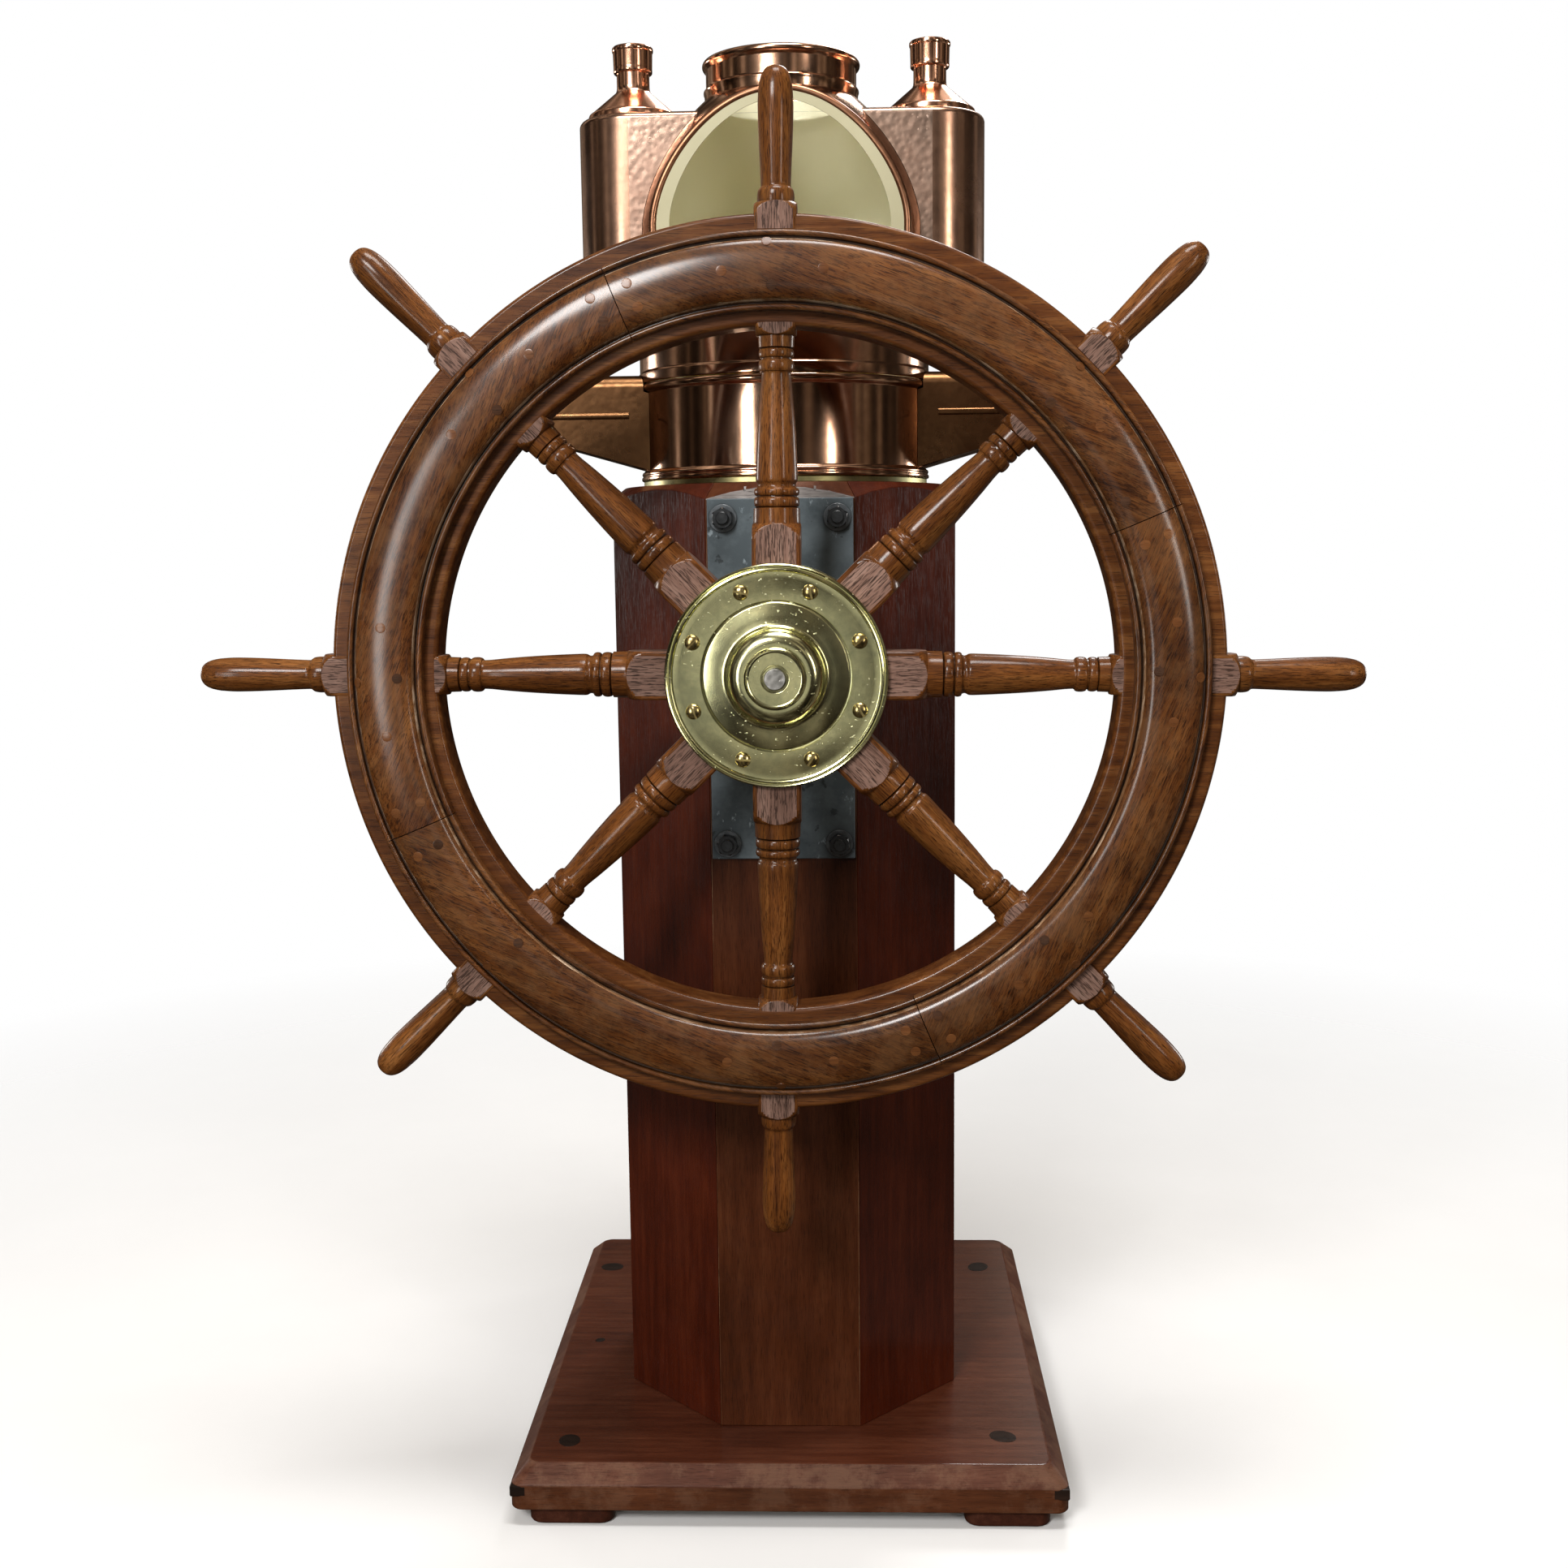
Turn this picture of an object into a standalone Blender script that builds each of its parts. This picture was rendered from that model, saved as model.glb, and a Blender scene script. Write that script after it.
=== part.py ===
"""A ship's wheel and compass binnacle on one wooden pedestal, at real size.

Metres, +Z up. The origin is on the floor under the middle of the whole object. The helmsman's side is -Y.
Pieces of the wheel are modelled in the wheel's own frame, whose +Z is the shaft's direction towards -Y.
"""

from math import cos, hypot, pi, radians, sin, sqrt, tan

import bmesh
import bpy
from mathutils import Matrix, Vector

GAP = 0.0003

# Column: a regular octagon of eight mitred staves, its top edge turned to a cone.
COLUMN_Y = 0.012
COLUMN_APOTHEM = 0.1765
STAVE_THICKNESS = 0.032
COLUMN_BOTTOM = 0.061
COLUMN_TOP = 1.034
CONE_TOP_R = 0.1707
CONE_SLOPE = 0.786
STAVES = 8
STAVE_STEPS = 6
TOP_BOARD_THICKNESS = 0.024

# Plinth of three boards on two battens.
PLINTH_HALF_X = 0.279
PLINTH_FRONT = COLUMN_Y - 0.268
PLINTH_REAR = COLUMN_Y + 0.337
PLINTH_BOTTOM = 0.0178
PLINTH_BEVEL_RUN = 0.017
PLINTH_BEVEL_DROP = 0.0166
PLINTH_CORNER = 0.012
BATTEN_HALF_WIDTH = 0.043
BATTEN_X = 0.219
BATTEN_HEIGHT = 0.0175
BATTEN_INSET = 0.006
BATTEN_CORNER = 0.014

# Door in the rear stave.
DOOR_HALF_WIDTH = 0.045
DOOR_LOW = 0.36
DOOR_HIGH = 0.72
DOOR_THICKNESS = 0.020
HINGE_LOW = 0.42
HINGE_HIGH = 0.66
HINGE_BARREL_R = 0.004
HINGE_LEAF = 0.002
HINGE_LEAF_WIDTH = 0.034
HINGE_AXIS_X = -0.0455
HINGE_AXIS_Y = COLUMN_Y + COLUMN_APOTHEM + 0.0045
KNOB_X = 0.030
KNOB_Z = 0.54

# Wheel.
HUB_Z = 0.8554
WHEEL_Y = COLUMN_Y - 0.2963
SPOKES = 8
SPOKE_TURN = radians(-0.5)
FELLOE_INNER = 0.309
FELLOE_OUTER = 0.4056
FELLOE_HALF = 0.0185
RING_INNER = 0.3216
RING_OUTER = 0.390
RING_THICKNESS = 0.0167
RIM_STEPS = 36
RIM_JOINT_ANGLE = radians(22.5)
HUB_BLOCK_HALF = 0.022
RIM_BLOCK_HALF = 0.0182
OUTER_BLOCK_HALF = 0.019
TENON_HALF = 0.012
TENON_START = 0.3305
TENON_END = 0.3915
SPOKE_START = 0.0545
HANDLE_END = 0.5334
SPOKE_SIDES = 12

# Hub and shaft, lengths along the wheel's +Z.
HUB_PLATE_R = 0.10125
HUB_PLATE_BACK = 0.0223
HUB_PLATE_FACE = 0.0283
HUB_CORE_R = 0.0535
BELL_R = 0.0445
BELL_FACE = 0.050
NUT_R = 0.028
NUT_FACE_R = 0.025
NUT_FACE = 0.061
STUD_R = 0.0095
STUD_END = 0.0645
SHAFT_R = 0.0125
SHAFT_REAR = -0.3513
SHAFT_SIDES = 24
BORE_CLEARANCE = 0.0004

# Iron spindle plate, bearing beam and chain sprocket.
PLATE_HALF_X = 0.071
PLATE_LOW = 0.6635
PLATE_HIGH = 1.018
PLATE_THICKNESS = 0.006
BOSS_REACH = 0.076
BEAM_Y = COLUMN_Y + 0.030
BEAM_HALF = 0.020
SPROCKET_Y = COLUMN_Y - 0.060
SPROCKET_R = 0.070
SPROCKET_TEETH = 16
STAVE_BORE_R = 0.030

# Binnacle: ring, drum and hood, all turned about the column's axis.
ROUND_STEPS = 36
RING_R_INNER = 0.128
RING_R_OUTER = 0.1505
DRUM_BOTTOM = 1.041
DRUM_TOP = 1.140
DRUM_R = 0.149
DRUM_INNER_R = 0.146
DRUM_FOOT_R = 0.1525
DRUM_FOOT_TOP = 1.050
DRUM_BEAD_LOW = 1.131
DRUM_FLARE = 0.0015
BEAD_R = 0.154
HOOD_R = 0.1525
HOOD_WALL = 0.0025
DOME_BOTTOM = 1.294
DOME_TOP = 1.4275
DOME_REACH = 0.172
DOME_POWER = 1.65
DOME_STEPS = 5
HOOD_FOOT_TOP = 1.152
NECK_SEAM_R = 0.080
NECK_R = 0.078
NECK_LOW = 1.438
NECK_BEAD_LOW = 1.458
NECK_TOP = 1.467
NECK_BEAD_R = 0.0815
SKYLIGHT_Z = 1.447
SKYLIGHT_SEAT_R = 0.0755
SKYLIGHT_LEDGE = 0.003
SKYLIGHT_R = 0.0748
SKYLIGHT_THICKNESS = 0.004
WINDOW_Y = -0.087
WINDOW_SILL = 1.215
GLASS_THICKNESS = 0.003
PORT_HALF_Y = 0.022
PORT_LOW = 1.235
PORT_HIGH = 1.290

# Lamp housings, lids and lamps.
LAMP_X = 0.154
LAMP_R = 0.0565
LAMP_BOTTOM = 1.175
LAMP_TOP = 1.410
LAMP_MOUTH_R = 0.040
OIL_LAMP_X = 0.1755
OIL_LAMP_R = 0.0195
SHEET = 0.0025
LID_COLLAR_R = 0.046
LID_COLLAR_TOP = 1.4175
LID_NECK_R = 0.017
LID_NECK_LOW = 1.4415
LID_CAP_LOW = 1.4606
LID_CAP_R = 0.0214
LID_TOP = 1.488

# Corrector housings on the drum's sides.
CORRECTOR_HALF_Y = 0.055
CORRECTOR_END = 0.262
CORRECTOR_ROOT_Z = 1.053
CORRECTOR_TOP = 1.149
CORRECTOR_TILT = radians(16.0)
CORRECTOR_SLOPE = tan(CORRECTOR_TILT)
CORRECTOR_SHOULDER = 0.012
IRON_X = 0.205
IRON_Z = 1.111
IRON_R = 0.030
IRON_FOOT_Z = 1.0752

# Compass in its gimbal.
PIVOT_Z = 1.125
GIMBAL_INNER = 0.127
GIMBAL_OUTER = 0.134
GIMBAL_HALF = 0.006
PIN_R = 0.004
BOWL_R = 0.105
BOWL_WALL = 0.004
BOWL_TOP = 1.165
BOWL_BOTTOM = 1.050
BOWL_GLASS_Z = 1.158
CARD_R = 0.088
CARD_Z = 1.135
CARD_THICKNESS = 0.0015
COMPASS_STEPS = 24

COLOURS = {
    "mahogany": ((0.075, 0.011, 0.004), 0.30, 0.0),
    "mahogany_brown": ((0.085, 0.030, 0.011), 0.34, 0.0),
    "oak": ((0.190, 0.074, 0.023), 0.36, 0.0),
    "brass": ((0.80, 0.65, 0.26), 0.20, 1.0),
    "copper": ((0.86, 0.43, 0.27), 0.18, 1.0),
    "iron": ((0.022, 0.024, 0.028), 0.50, 0.0),
    "steel": ((0.55, 0.54, 0.52), 0.35, 1.0),
    "glass": ((0.90, 0.95, 0.95), 0.05, 0.0),
    "card": ((0.80, 0.76, 0.62), 0.60, 0.0),
}


def clear_scene():
    for obj in list(bpy.data.objects):
        bpy.data.objects.remove(obj, do_unlink=True)


def material_for(name, finish):
    """Each sub-part has its own material, in one of the named finishes."""
    colour, roughness, metallic = COLOURS[finish]
    made = bpy.data.materials.new(name + "_finish")
    made.use_nodes = True
    shader = made.node_tree.nodes["Principled BSDF"]
    shader.inputs["Base Color"].default_value = (*colour, 1.0)
    shader.inputs["Roughness"].default_value = roughness
    shader.inputs["Metallic"].default_value = metallic
    return made


def make(name, mesh, finish, parent=None, location=(0, 0, 0), turn=(0, 0, 0)):
    obj = bpy.data.objects.new(name, mesh)
    bpy.context.scene.collection.objects.link(obj)
    obj.data.materials.clear()
    obj.data.materials.append(material_for(name, finish))
    obj.parent = parent
    obj.location = location
    obj.rotation_euler = turn
    mesh.shade_smooth()
    mesh.set_sharp_from_angle(angle=radians(30))
    return obj


def empty(name, location, turn=(0, 0, 0)):
    obj = bpy.data.objects.new(name, None)
    bpy.context.scene.collection.objects.link(obj)
    obj.location = location
    obj.rotation_euler = turn
    return obj


def finish_mesh(name, bm):
    bmesh.ops.recalc_face_normals(bm, faces=bm.faces)
    mesh = bpy.data.meshes.new(name)
    bm.to_mesh(mesh)
    bm.free()
    return mesh


def cutter(name, mesh, location=(0, 0, 0), turn=(0, 0, 0), parent=None):
    """A hidden helper that only shapes another piece."""
    obj = bpy.data.objects.new(name, mesh)
    bpy.context.scene.collection.objects.link(obj)
    obj.hide_render = True
    obj.display_type = "WIRE"
    obj.parent = parent
    obj.location = location
    obj.rotation_euler = turn
    return obj


def combine(obj, helper, operation="DIFFERENCE"):
    modifier = obj.modifiers.new(helper.name, "BOOLEAN")
    modifier.operation = operation
    modifier.solver = "EXACT"
    modifier.object = helper
    return obj


def prism(name, outline, low, high):
    """A closed prism on an outline in the XY plane, from low to high along Z."""
    bm = bmesh.new()
    rings = [[bm.verts.new((x, y, z)) for x, y in outline] for z in (low, high)]
    bm.faces.new(rings[0])
    bm.faces.new(rings[1])
    for i, start in enumerate(rings[0]):
        j = (i + 1) % len(outline)
        bm.faces.new((start, rings[0][j], rings[1][j], rings[1][i]))
    return finish_mesh(name, bm)


def block(name, low, high):
    outline = [(low[0], low[1]), (high[0], low[1]), (high[0], high[1]), (low[0], high[1])]
    return prism(name, outline, low[2], high[2])


def lathe(name, profile, steps, arc=2 * pi, start=0.0, loop=True):
    """Turns (radius, height) points about Z. A loop closes on itself; the other kind ends on the axis."""
    whole = arc > 2 * pi - 0.001
    bm = bmesh.new()
    count = steps if whole else steps + 1
    poles = {i: bm.verts.new((0, 0, z)) for i, (r, z) in enumerate(profile) if r == 0}
    columns = []
    for k in range(count):
        angle = start + arc * k / steps
        columns.append(
            [
                poles.get(i) or bm.verts.new((r * cos(angle), r * sin(angle), z))
                for i, (r, z) in enumerate(profile)
            ]
        )
    edges = len(profile) if loop else len(profile) - 1
    for k in range(steps):
        near, far = columns[k], columns[(k + 1) % count]
        for i in range(edges):
            j = (i + 1) % len(profile)
            corners = list(dict.fromkeys((near[i], near[j], far[j], far[i])))
            bm.faces.new(corners)
    if not whole:
        bm.faces.new(columns[0])
        bm.faces.new(columns[-1])
    return finish_mesh(name, bm)


def rod(name, radius, low, high, sides):
    profile = [(0, high), (radius, high), (radius, low), (0, low)]
    return lathe(name, profile, sides, loop=False)


def merged(name, meshes):
    """Several closed bodies that don't touch, as one helper mesh."""
    bm = bmesh.new()
    for mesh, place in meshes:
        shape = mesh.copy()
        shape.transform(place)
        bm.from_mesh(shape)
        bpy.data.meshes.remove(shape)
    return finish_mesh(name, bm)


def rounded_corners(points, radii, steps=4):
    """A convex outline with each corner eased by its radius, or kept where that is 0."""
    outline = []
    for i, (here, radius) in enumerate(zip(points, radii)):
        corner = Vector(here)
        if not radius:
            outline.append(tuple(corner))
            continue
        back = (Vector(points[i - 1]) - corner).normalized()
        ahead = (Vector(points[(i + 1) % len(points)]) - corner).normalized()
        start = corner + back * radius
        end = corner + ahead * radius
        for k in range(steps + 1):
            angle = pi / 2 * k / steps
            along = (start - corner) * (1 - sin(angle))
            across = (end - corner) * (1 - cos(angle))
            outline.append(tuple(corner + along + across))
    return outline


# Plinth


def plinth_board(name, near, far, round_near, round_far):
    """One board across the plinth. Its outer edges carry the bevel; its inner edges are square."""
    radii = [PLINTH_CORNER * round_near] * 2 + [PLINTH_CORNER * round_far] * 2
    levels = (
        (PLINTH_BOTTOM, 0.0),
        (COLUMN_BOTTOM - PLINTH_BEVEL_DROP, 0.0),
        (COLUMN_BOTTOM, PLINTH_BEVEL_RUN),
    )
    bm = bmesh.new()
    rings = []
    for z, inset in levels:
        side = PLINTH_HALF_X - inset
        low = near + inset * round_near
        high = far - inset * round_far
        outline = rounded_corners([(-side, low), (side, low), (side, high), (-side, high)], radii)
        rings.append([bm.verts.new((x, y, z)) for x, y in outline])
    bm.faces.new(rings[0])
    bm.faces.new(rings[-1])
    for lower, upper in zip(rings, rings[1:]):
        for i, start in enumerate(lower):
            j = (i + 1) % len(lower)
            bm.faces.new((start, lower[j], upper[j], upper[i]))
    return make(name, finish_mesh(name, bm), "mahogany")


def batten(name, x):
    low = (x - BATTEN_HALF_WIDTH, PLINTH_FRONT + BATTEN_INSET)
    high = (x + BATTEN_HALF_WIDTH, PLINTH_REAR - BATTEN_INSET)
    corners = [low, (high[0], low[1]), high, (low[0], high[1])]
    outline = rounded_corners(corners, [BATTEN_CORNER] * 4)
    make(name, prism(name, outline, 0.0, BATTEN_HEIGHT), "mahogany")


def plinth():
    batten("batten_left", -BATTEN_X)
    batten("batten_right", BATTEN_X)
    width = (PLINTH_REAR - PLINTH_FRONT) / 3
    first = PLINTH_FRONT + width
    second = first + width
    plinth_board("plinth_board_front", PLINTH_FRONT, first - GAP / 2, True, False)
    plinth_board("plinth_board_middle", first + GAP / 2, second - GAP / 2, False, False)
    plinth_board("plinth_board_rear", second + GAP / 2, PLINTH_REAR, False, True)


# Column


def stave_mesh(name):
    """One stave facing local -Y. Its chamfered top lies on the cone of the whole column's top edge."""
    bm = bmesh.new()
    half_angle = pi / STAVES
    side_gap = GAP / 2 / cos(half_angle)
    inner = COLUMN_APOTHEM - STAVE_THICKNESS
    outer_half = COLUMN_APOTHEM * tan(half_angle) - side_gap
    inner_half = inner * tan(half_angle) - side_gap
    bottom = COLUMN_BOTTOM + GAP
    edge = []
    crown = []
    for k in range(STAVE_STEPS + 1):
        x = outer_half * (2 * k / STAVE_STEPS - 1)
        radius = hypot(x, COLUMN_APOTHEM)
        z = COLUMN_TOP - CONE_SLOPE * (radius - CONE_TOP_R)
        scale = CONE_TOP_R / radius
        edge.append(bm.verts.new((x, -COLUMN_APOTHEM, z)))
        crown.append(bm.verts.new((x * scale, -COLUMN_APOTHEM * scale, COLUMN_TOP)))
    low = [
        bm.verts.new((x, y, bottom))
        for x, y in (
            (-outer_half, -COLUMN_APOTHEM),
            (outer_half, -COLUMN_APOTHEM),
            (inner_half, -inner),
            (-inner_half, -inner),
        )
    ]
    high = [bm.verts.new((x, -inner, COLUMN_TOP)) for x in (inner_half, -inner_half)]
    bm.faces.new((low[0], low[1], *reversed(edge)))
    for k in range(STAVE_STEPS):
        bm.faces.new((edge[k], edge[k + 1], crown[k + 1], crown[k]))
    bm.faces.new((*crown, high[0], high[1]))
    bm.faces.new((low[1], low[2], high[0], crown[-1], edge[-1]))
    bm.faces.new((low[3], low[0], edge[0], crown[0], high[1]))
    bm.faces.new((low[2], low[3], high[1], high[0]))
    bm.faces.new(low)
    return finish_mesh(name, bm)


def column():
    axis = empty("column_axis", (0, COLUMN_Y, 0))
    names = (
        "front_stave",
        "front_right_stave",
        "right_stave",
        "rear_right_stave",
        "rear_stave",
        "rear_left_stave",
        "left_stave",
        "front_left_stave",
    )
    made = {}
    for k, name in enumerate(names):
        finish = "mahogany_brown" if k == 0 else "mahogany"
        turn = (0, 0, 2 * pi * k / STAVES)
        made[name] = make(name, stave_mesh(name), finish, axis, turn=turn)
    bore = cutter(
        "stave_bore",
        rod("stave_bore", STAVE_BORE_R, 0.130, 0.200, SHAFT_SIDES),
        (0, COLUMN_Y, HUB_Z),
        (pi / 2, 0, 0),
    )
    combine(made["front_stave"], bore)
    low = (-DOOR_HALF_WIDTH, COLUMN_Y + 0.12, DOOR_LOW)
    high = (DOOR_HALF_WIDTH, COLUMN_Y + 0.20, DOOR_HIGH)
    combine(made["rear_stave"], cutter("door_way", block("door_way", low, high)))
    inner = COLUMN_APOTHEM - STAVE_THICKNESS - GAP
    reach = inner / cos(pi / STAVES)
    angles = [pi / STAVES + 2 * pi * k / STAVES for k in range(STAVES)]
    outline = [(reach * cos(a), reach * sin(a)) for a in angles]
    board = prism("column_top_board", outline, COLUMN_TOP - TOP_BOARD_THICKNESS, COLUMN_TOP)
    make("column_top_board", board, "mahogany", axis)


def door():
    hinge = empty("door_hinge_axis", (HINGE_AXIS_X, HINGE_AXIS_Y, 0))
    face = COLUMN_Y + COLUMN_APOTHEM - HINGE_AXIS_Y
    edge = -DOOR_HALF_WIDTH + GAP - HINGE_AXIS_X
    low = (edge, face - DOOR_THICKNESS, DOOR_LOW + GAP)
    high = (DOOR_HALF_WIDTH - GAP - HINGE_AXIS_X, face, DOOR_HIGH - GAP)
    make("rear_door", block("rear_door", low, high), "mahogany", hinge)
    leaf_low = face + GAP
    leaf_high = leaf_low + HINGE_LEAF
    angles = [radians(20 + 290 * k / 12) for k in range(13)]
    barrel = [(HINGE_BARREL_R * cos(a), HINGE_BARREL_R * sin(a)) for a in angles]
    join = sqrt(HINGE_BARREL_R**2 - leaf_high**2)
    outline = [point for point in barrel if point[0] < join or point[1] > leaf_high]
    outline += [(HINGE_LEAF_WIDTH, leaf_low), (HINGE_LEAF_WIDTH, leaf_high)]
    make("door_hinge", prism("door_hinge", outline, HINGE_LOW, HINGE_HIGH), "brass", hinge)
    place = (KNOB_X, COLUMN_Y + COLUMN_APOTHEM, KNOB_Z)
    profile = [
        (0, 0.024),
        (0.008, 0.023),
        (0.013, 0.017),
        (0.010, 0.011),
        (0.005, 0.008),
        (0.010, 0.003),
        (0.010, GAP),
        (0, GAP),
    ]
    knob = lathe("door_knob", profile, 12, loop=False)
    make("door_knob", knob, "brass", None, place, (-pi / 2, 0, 0))


# Wheel


def spoke_stations():
    """(distance from the shaft, half side of the square blank, turned radius), from hub to handle."""
    whole = 1.5 * HUB_BLOCK_HALF
    no_square = 1.0
    return (
        (SPOKE_START, HUB_BLOCK_HALF, whole),
        (0.127, HUB_BLOCK_HALF, whole),
        (0.135, HUB_BLOCK_HALF, 0.0215),
        (0.151, no_square, 0.0210),
        (0.153, no_square, 0.0205),
        (0.167, no_square, 0.0205),
        (0.170, no_square, 0.0172),
        (0.177, no_square, 0.0190),
        (0.225, no_square, 0.0168),
        (0.269, no_square, 0.0133),
        (0.272, no_square, 0.0160),
        (0.302, no_square, 0.0160),
        (0.312, RIM_BLOCK_HALF, 1.5 * RIM_BLOCK_HALF),
        (TENON_START - GAP, RIM_BLOCK_HALF, 1.5 * RIM_BLOCK_HALF),
        (TENON_START, TENON_HALF, whole),
        (TENON_END, TENON_HALF, whole),
        (TENON_END + GAP, OUTER_BLOCK_HALF, 1.5 * OUTER_BLOCK_HALF),
        (0.408, OUTER_BLOCK_HALF, 1.5 * OUTER_BLOCK_HALF),
        (0.416, OUTER_BLOCK_HALF, 0.0165),
        (0.427, no_square, 0.0160),
        (0.430, no_square, 0.0135),
        (0.505, no_square, 0.0157),
        (0.526, no_square, 0.0122),
        (HANDLE_END, no_square, 0.0050),
    )


def loft(name, stations, sides):
    """A bar along +X whose sections are each a square cut down to a circle."""
    bm = bmesh.new()
    rings = []
    for x, half, radius in stations:
        ring = []
        for k in range(sides):
            angle = 2 * pi * (k + 0.5) / sides
            reach = min(half / max(abs(cos(angle)), abs(sin(angle))), radius)
            ring.append(bm.verts.new((x, reach * cos(angle), reach * sin(angle))))
        rings.append(ring)
    bm.faces.new(rings[0])
    bm.faces.new(rings[-1])
    for near, far in zip(rings, rings[1:]):
        for k in range(sides):
            j = (k + 1) % sides
            bm.faces.new((near[k], near[j], far[j], far[k]))
    return finish_mesh(name, bm)


def spokes(axis):
    shape = loft("spoke", spoke_stations(), SPOKE_SIDES)
    for k in range(SPOKES):
        name = f"spoke_{k + 1}"
        obj = make(name, shape.copy(), "oak", axis, turn=(0, 0, 2 * pi * k / SPOKES + SPOKE_TURN))
        obj.data.name = name
    bpy.data.meshes.remove(shape)


def felloe(axis):
    profile = [
        (FELLOE_OUTER, FELLOE_HALF),
        (FELLOE_OUTER, -FELLOE_HALF),
        (FELLOE_INNER, -FELLOE_HALF),
        (FELLOE_INNER, FELLOE_HALF),
    ]
    ring = make("felloe_ring", lathe("felloe_ring", profile, RIM_STEPS), "oak", axis)
    whole = 1.0
    slot = FELLOE_HALF + GAP
    stations = (
        (0.295, slot, whole),
        (TENON_START + GAP, slot, whole),
        (TENON_START + 2 * GAP, TENON_HALF + GAP, whole),
        (TENON_END - GAP, TENON_HALF + GAP, whole),
        (TENON_END, OUTER_BLOCK_HALF + GAP, whole),
        (0.420, OUTER_BLOCK_HALF + GAP, whole),
    )
    shape = loft("felloe_slot", stations, SPOKE_SIDES)
    turns = [Matrix.Rotation(2 * pi * k / SPOKES + SPOKE_TURN, 4, "Z") for k in range(SPOKES)]
    slots = merged("felloe_slots", [(shape, turn) for turn in turns])
    bpy.data.meshes.remove(shape)
    combine(ring, cutter("felloe_slots", slots, parent=axis))


def ring_profile(side):
    """Section of a facing ring: a crowned face between two low beads. side is +1 in front and -1 behind."""
    back = FELLOE_HALF + GAP
    bead = back + 0.0100
    step = back + 0.0125
    crown = back + RING_THICKNESS
    middle = (RING_INNER + RING_OUTER) / 2
    points = (
        (RING_INNER, back),
        (RING_INNER, bead),
        (0.3280, bead),
        (0.3290, step),
        (0.3400, crown - 0.0010),
        (middle, crown),
        (0.3730, crown - 0.0010),
        (0.3840, step),
        (0.3850, bead),
        (RING_OUTER, bead),
        (RING_OUTER, back),
    )
    return [(r, side * z) for r, z in points]


def rim_rings(axis):
    joint = GAP / 2 / RING_INNER
    for k in range(4):
        name = f"rim_front_{k + 1}"
        start = RIM_JOINT_ANGLE + k * pi / 2 + joint
        arc = pi / 2 - 2 * joint
        mesh = lathe(name, ring_profile(1), RIM_STEPS // 4, arc, start)
        make(name, mesh, "oak", axis)
    make("rim_rear", lathe("rim_rear", ring_profile(-1), RIM_STEPS), "oak", axis)


def hub(axis):
    bore = SHAFT_R + BORE_CLEARANCE
    core = [
        (HUB_CORE_R, HUB_PLATE_BACK - GAP),
        (HUB_CORE_R, -HUB_PLATE_BACK + GAP),
        (bore, -HUB_PLATE_BACK + GAP),
        (bore, HUB_PLATE_BACK - GAP),
    ]
    make("hub_core", lathe("hub_core", core, SHAFT_SIDES), "brass", axis)
    front = [
        (bore, BELL_FACE),
        (0.0300, BELL_FACE),
        (0.0350, 0.0465),
        (0.0410, 0.0385),
        (BELL_R, HUB_PLATE_FACE),
        (HUB_PLATE_R, HUB_PLATE_FACE),
        (HUB_PLATE_R, HUB_PLATE_BACK),
        (bore, HUB_PLATE_BACK),
    ]
    make("hub_front_plate", lathe("hub_front_plate", front, ROUND_STEPS), "brass", axis)
    rear = [
        (bore, -HUB_PLATE_BACK),
        (HUB_PLATE_R, -HUB_PLATE_BACK),
        (HUB_PLATE_R, -HUB_PLATE_FACE),
        (bore, -HUB_PLATE_FACE),
    ]
    make("hub_rear_plate", lathe("hub_rear_plate", rear, SHAFT_SIDES), "brass", axis)
    nut_bore = STUD_R + BORE_CLEARANCE
    nut = [
        (nut_bore, NUT_FACE),
        (NUT_FACE_R, NUT_FACE),
        (NUT_R, NUT_FACE - 0.003),
        (NUT_R, BELL_FACE + GAP),
        (nut_bore, BELL_FACE + GAP),
    ]
    make("hub_nut", lathe("hub_nut", nut, SHAFT_SIDES), "brass", axis)


def shaft(axis):
    shoulder = BELL_FACE - 0.001
    profile = [
        (0, STUD_END),
        (STUD_R, STUD_END),
        (STUD_R, shoulder),
        (SHAFT_R, shoulder),
        (SHAFT_R, SHAFT_REAR),
        (0, SHAFT_REAR),
    ]
    mesh = lathe("wheel_shaft", profile, SHAFT_SIDES, loop=False)
    make("wheel_shaft", mesh, "steel", axis)


def sprocket(axis):
    """A chain wheel keyed to the shaft inside the column."""
    middle = WHEEL_Y - SPROCKET_Y
    tooth = 0.008
    outline = []
    for k in range(SPROCKET_TEETH * 4):
        angle = 2 * pi * k / (SPROCKET_TEETH * 4)
        radius = SPROCKET_R if k % 4 < 2 else SPROCKET_R - tooth
        outline.append((radius * cos(angle), radius * sin(angle)))
    mesh = prism("sprocket", outline, middle - 0.004, middle + 0.004)
    obj = make("sprocket", mesh, "iron", axis)
    boss = rod("sprocket_boss", 0.026, middle - 0.016, middle + 0.016, SHAFT_SIDES)
    combine(obj, cutter("sprocket_boss", boss, parent=axis), "UNION")
    bore = rod("sprocket_bore", SHAFT_R + BORE_CLEARANCE, middle - 0.03, middle + 0.03, SHAFT_SIDES)
    combine(obj, cutter("sprocket_bore", bore, parent=axis))


def wheel():
    axis = empty("wheel_axis", (0, WHEEL_Y, HUB_Z), (pi / 2, 0, 0))
    spokes(axis)
    felloe(axis)
    rim_rings(axis)
    hub(axis)
    shaft(axis)
    sprocket(axis)


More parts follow.
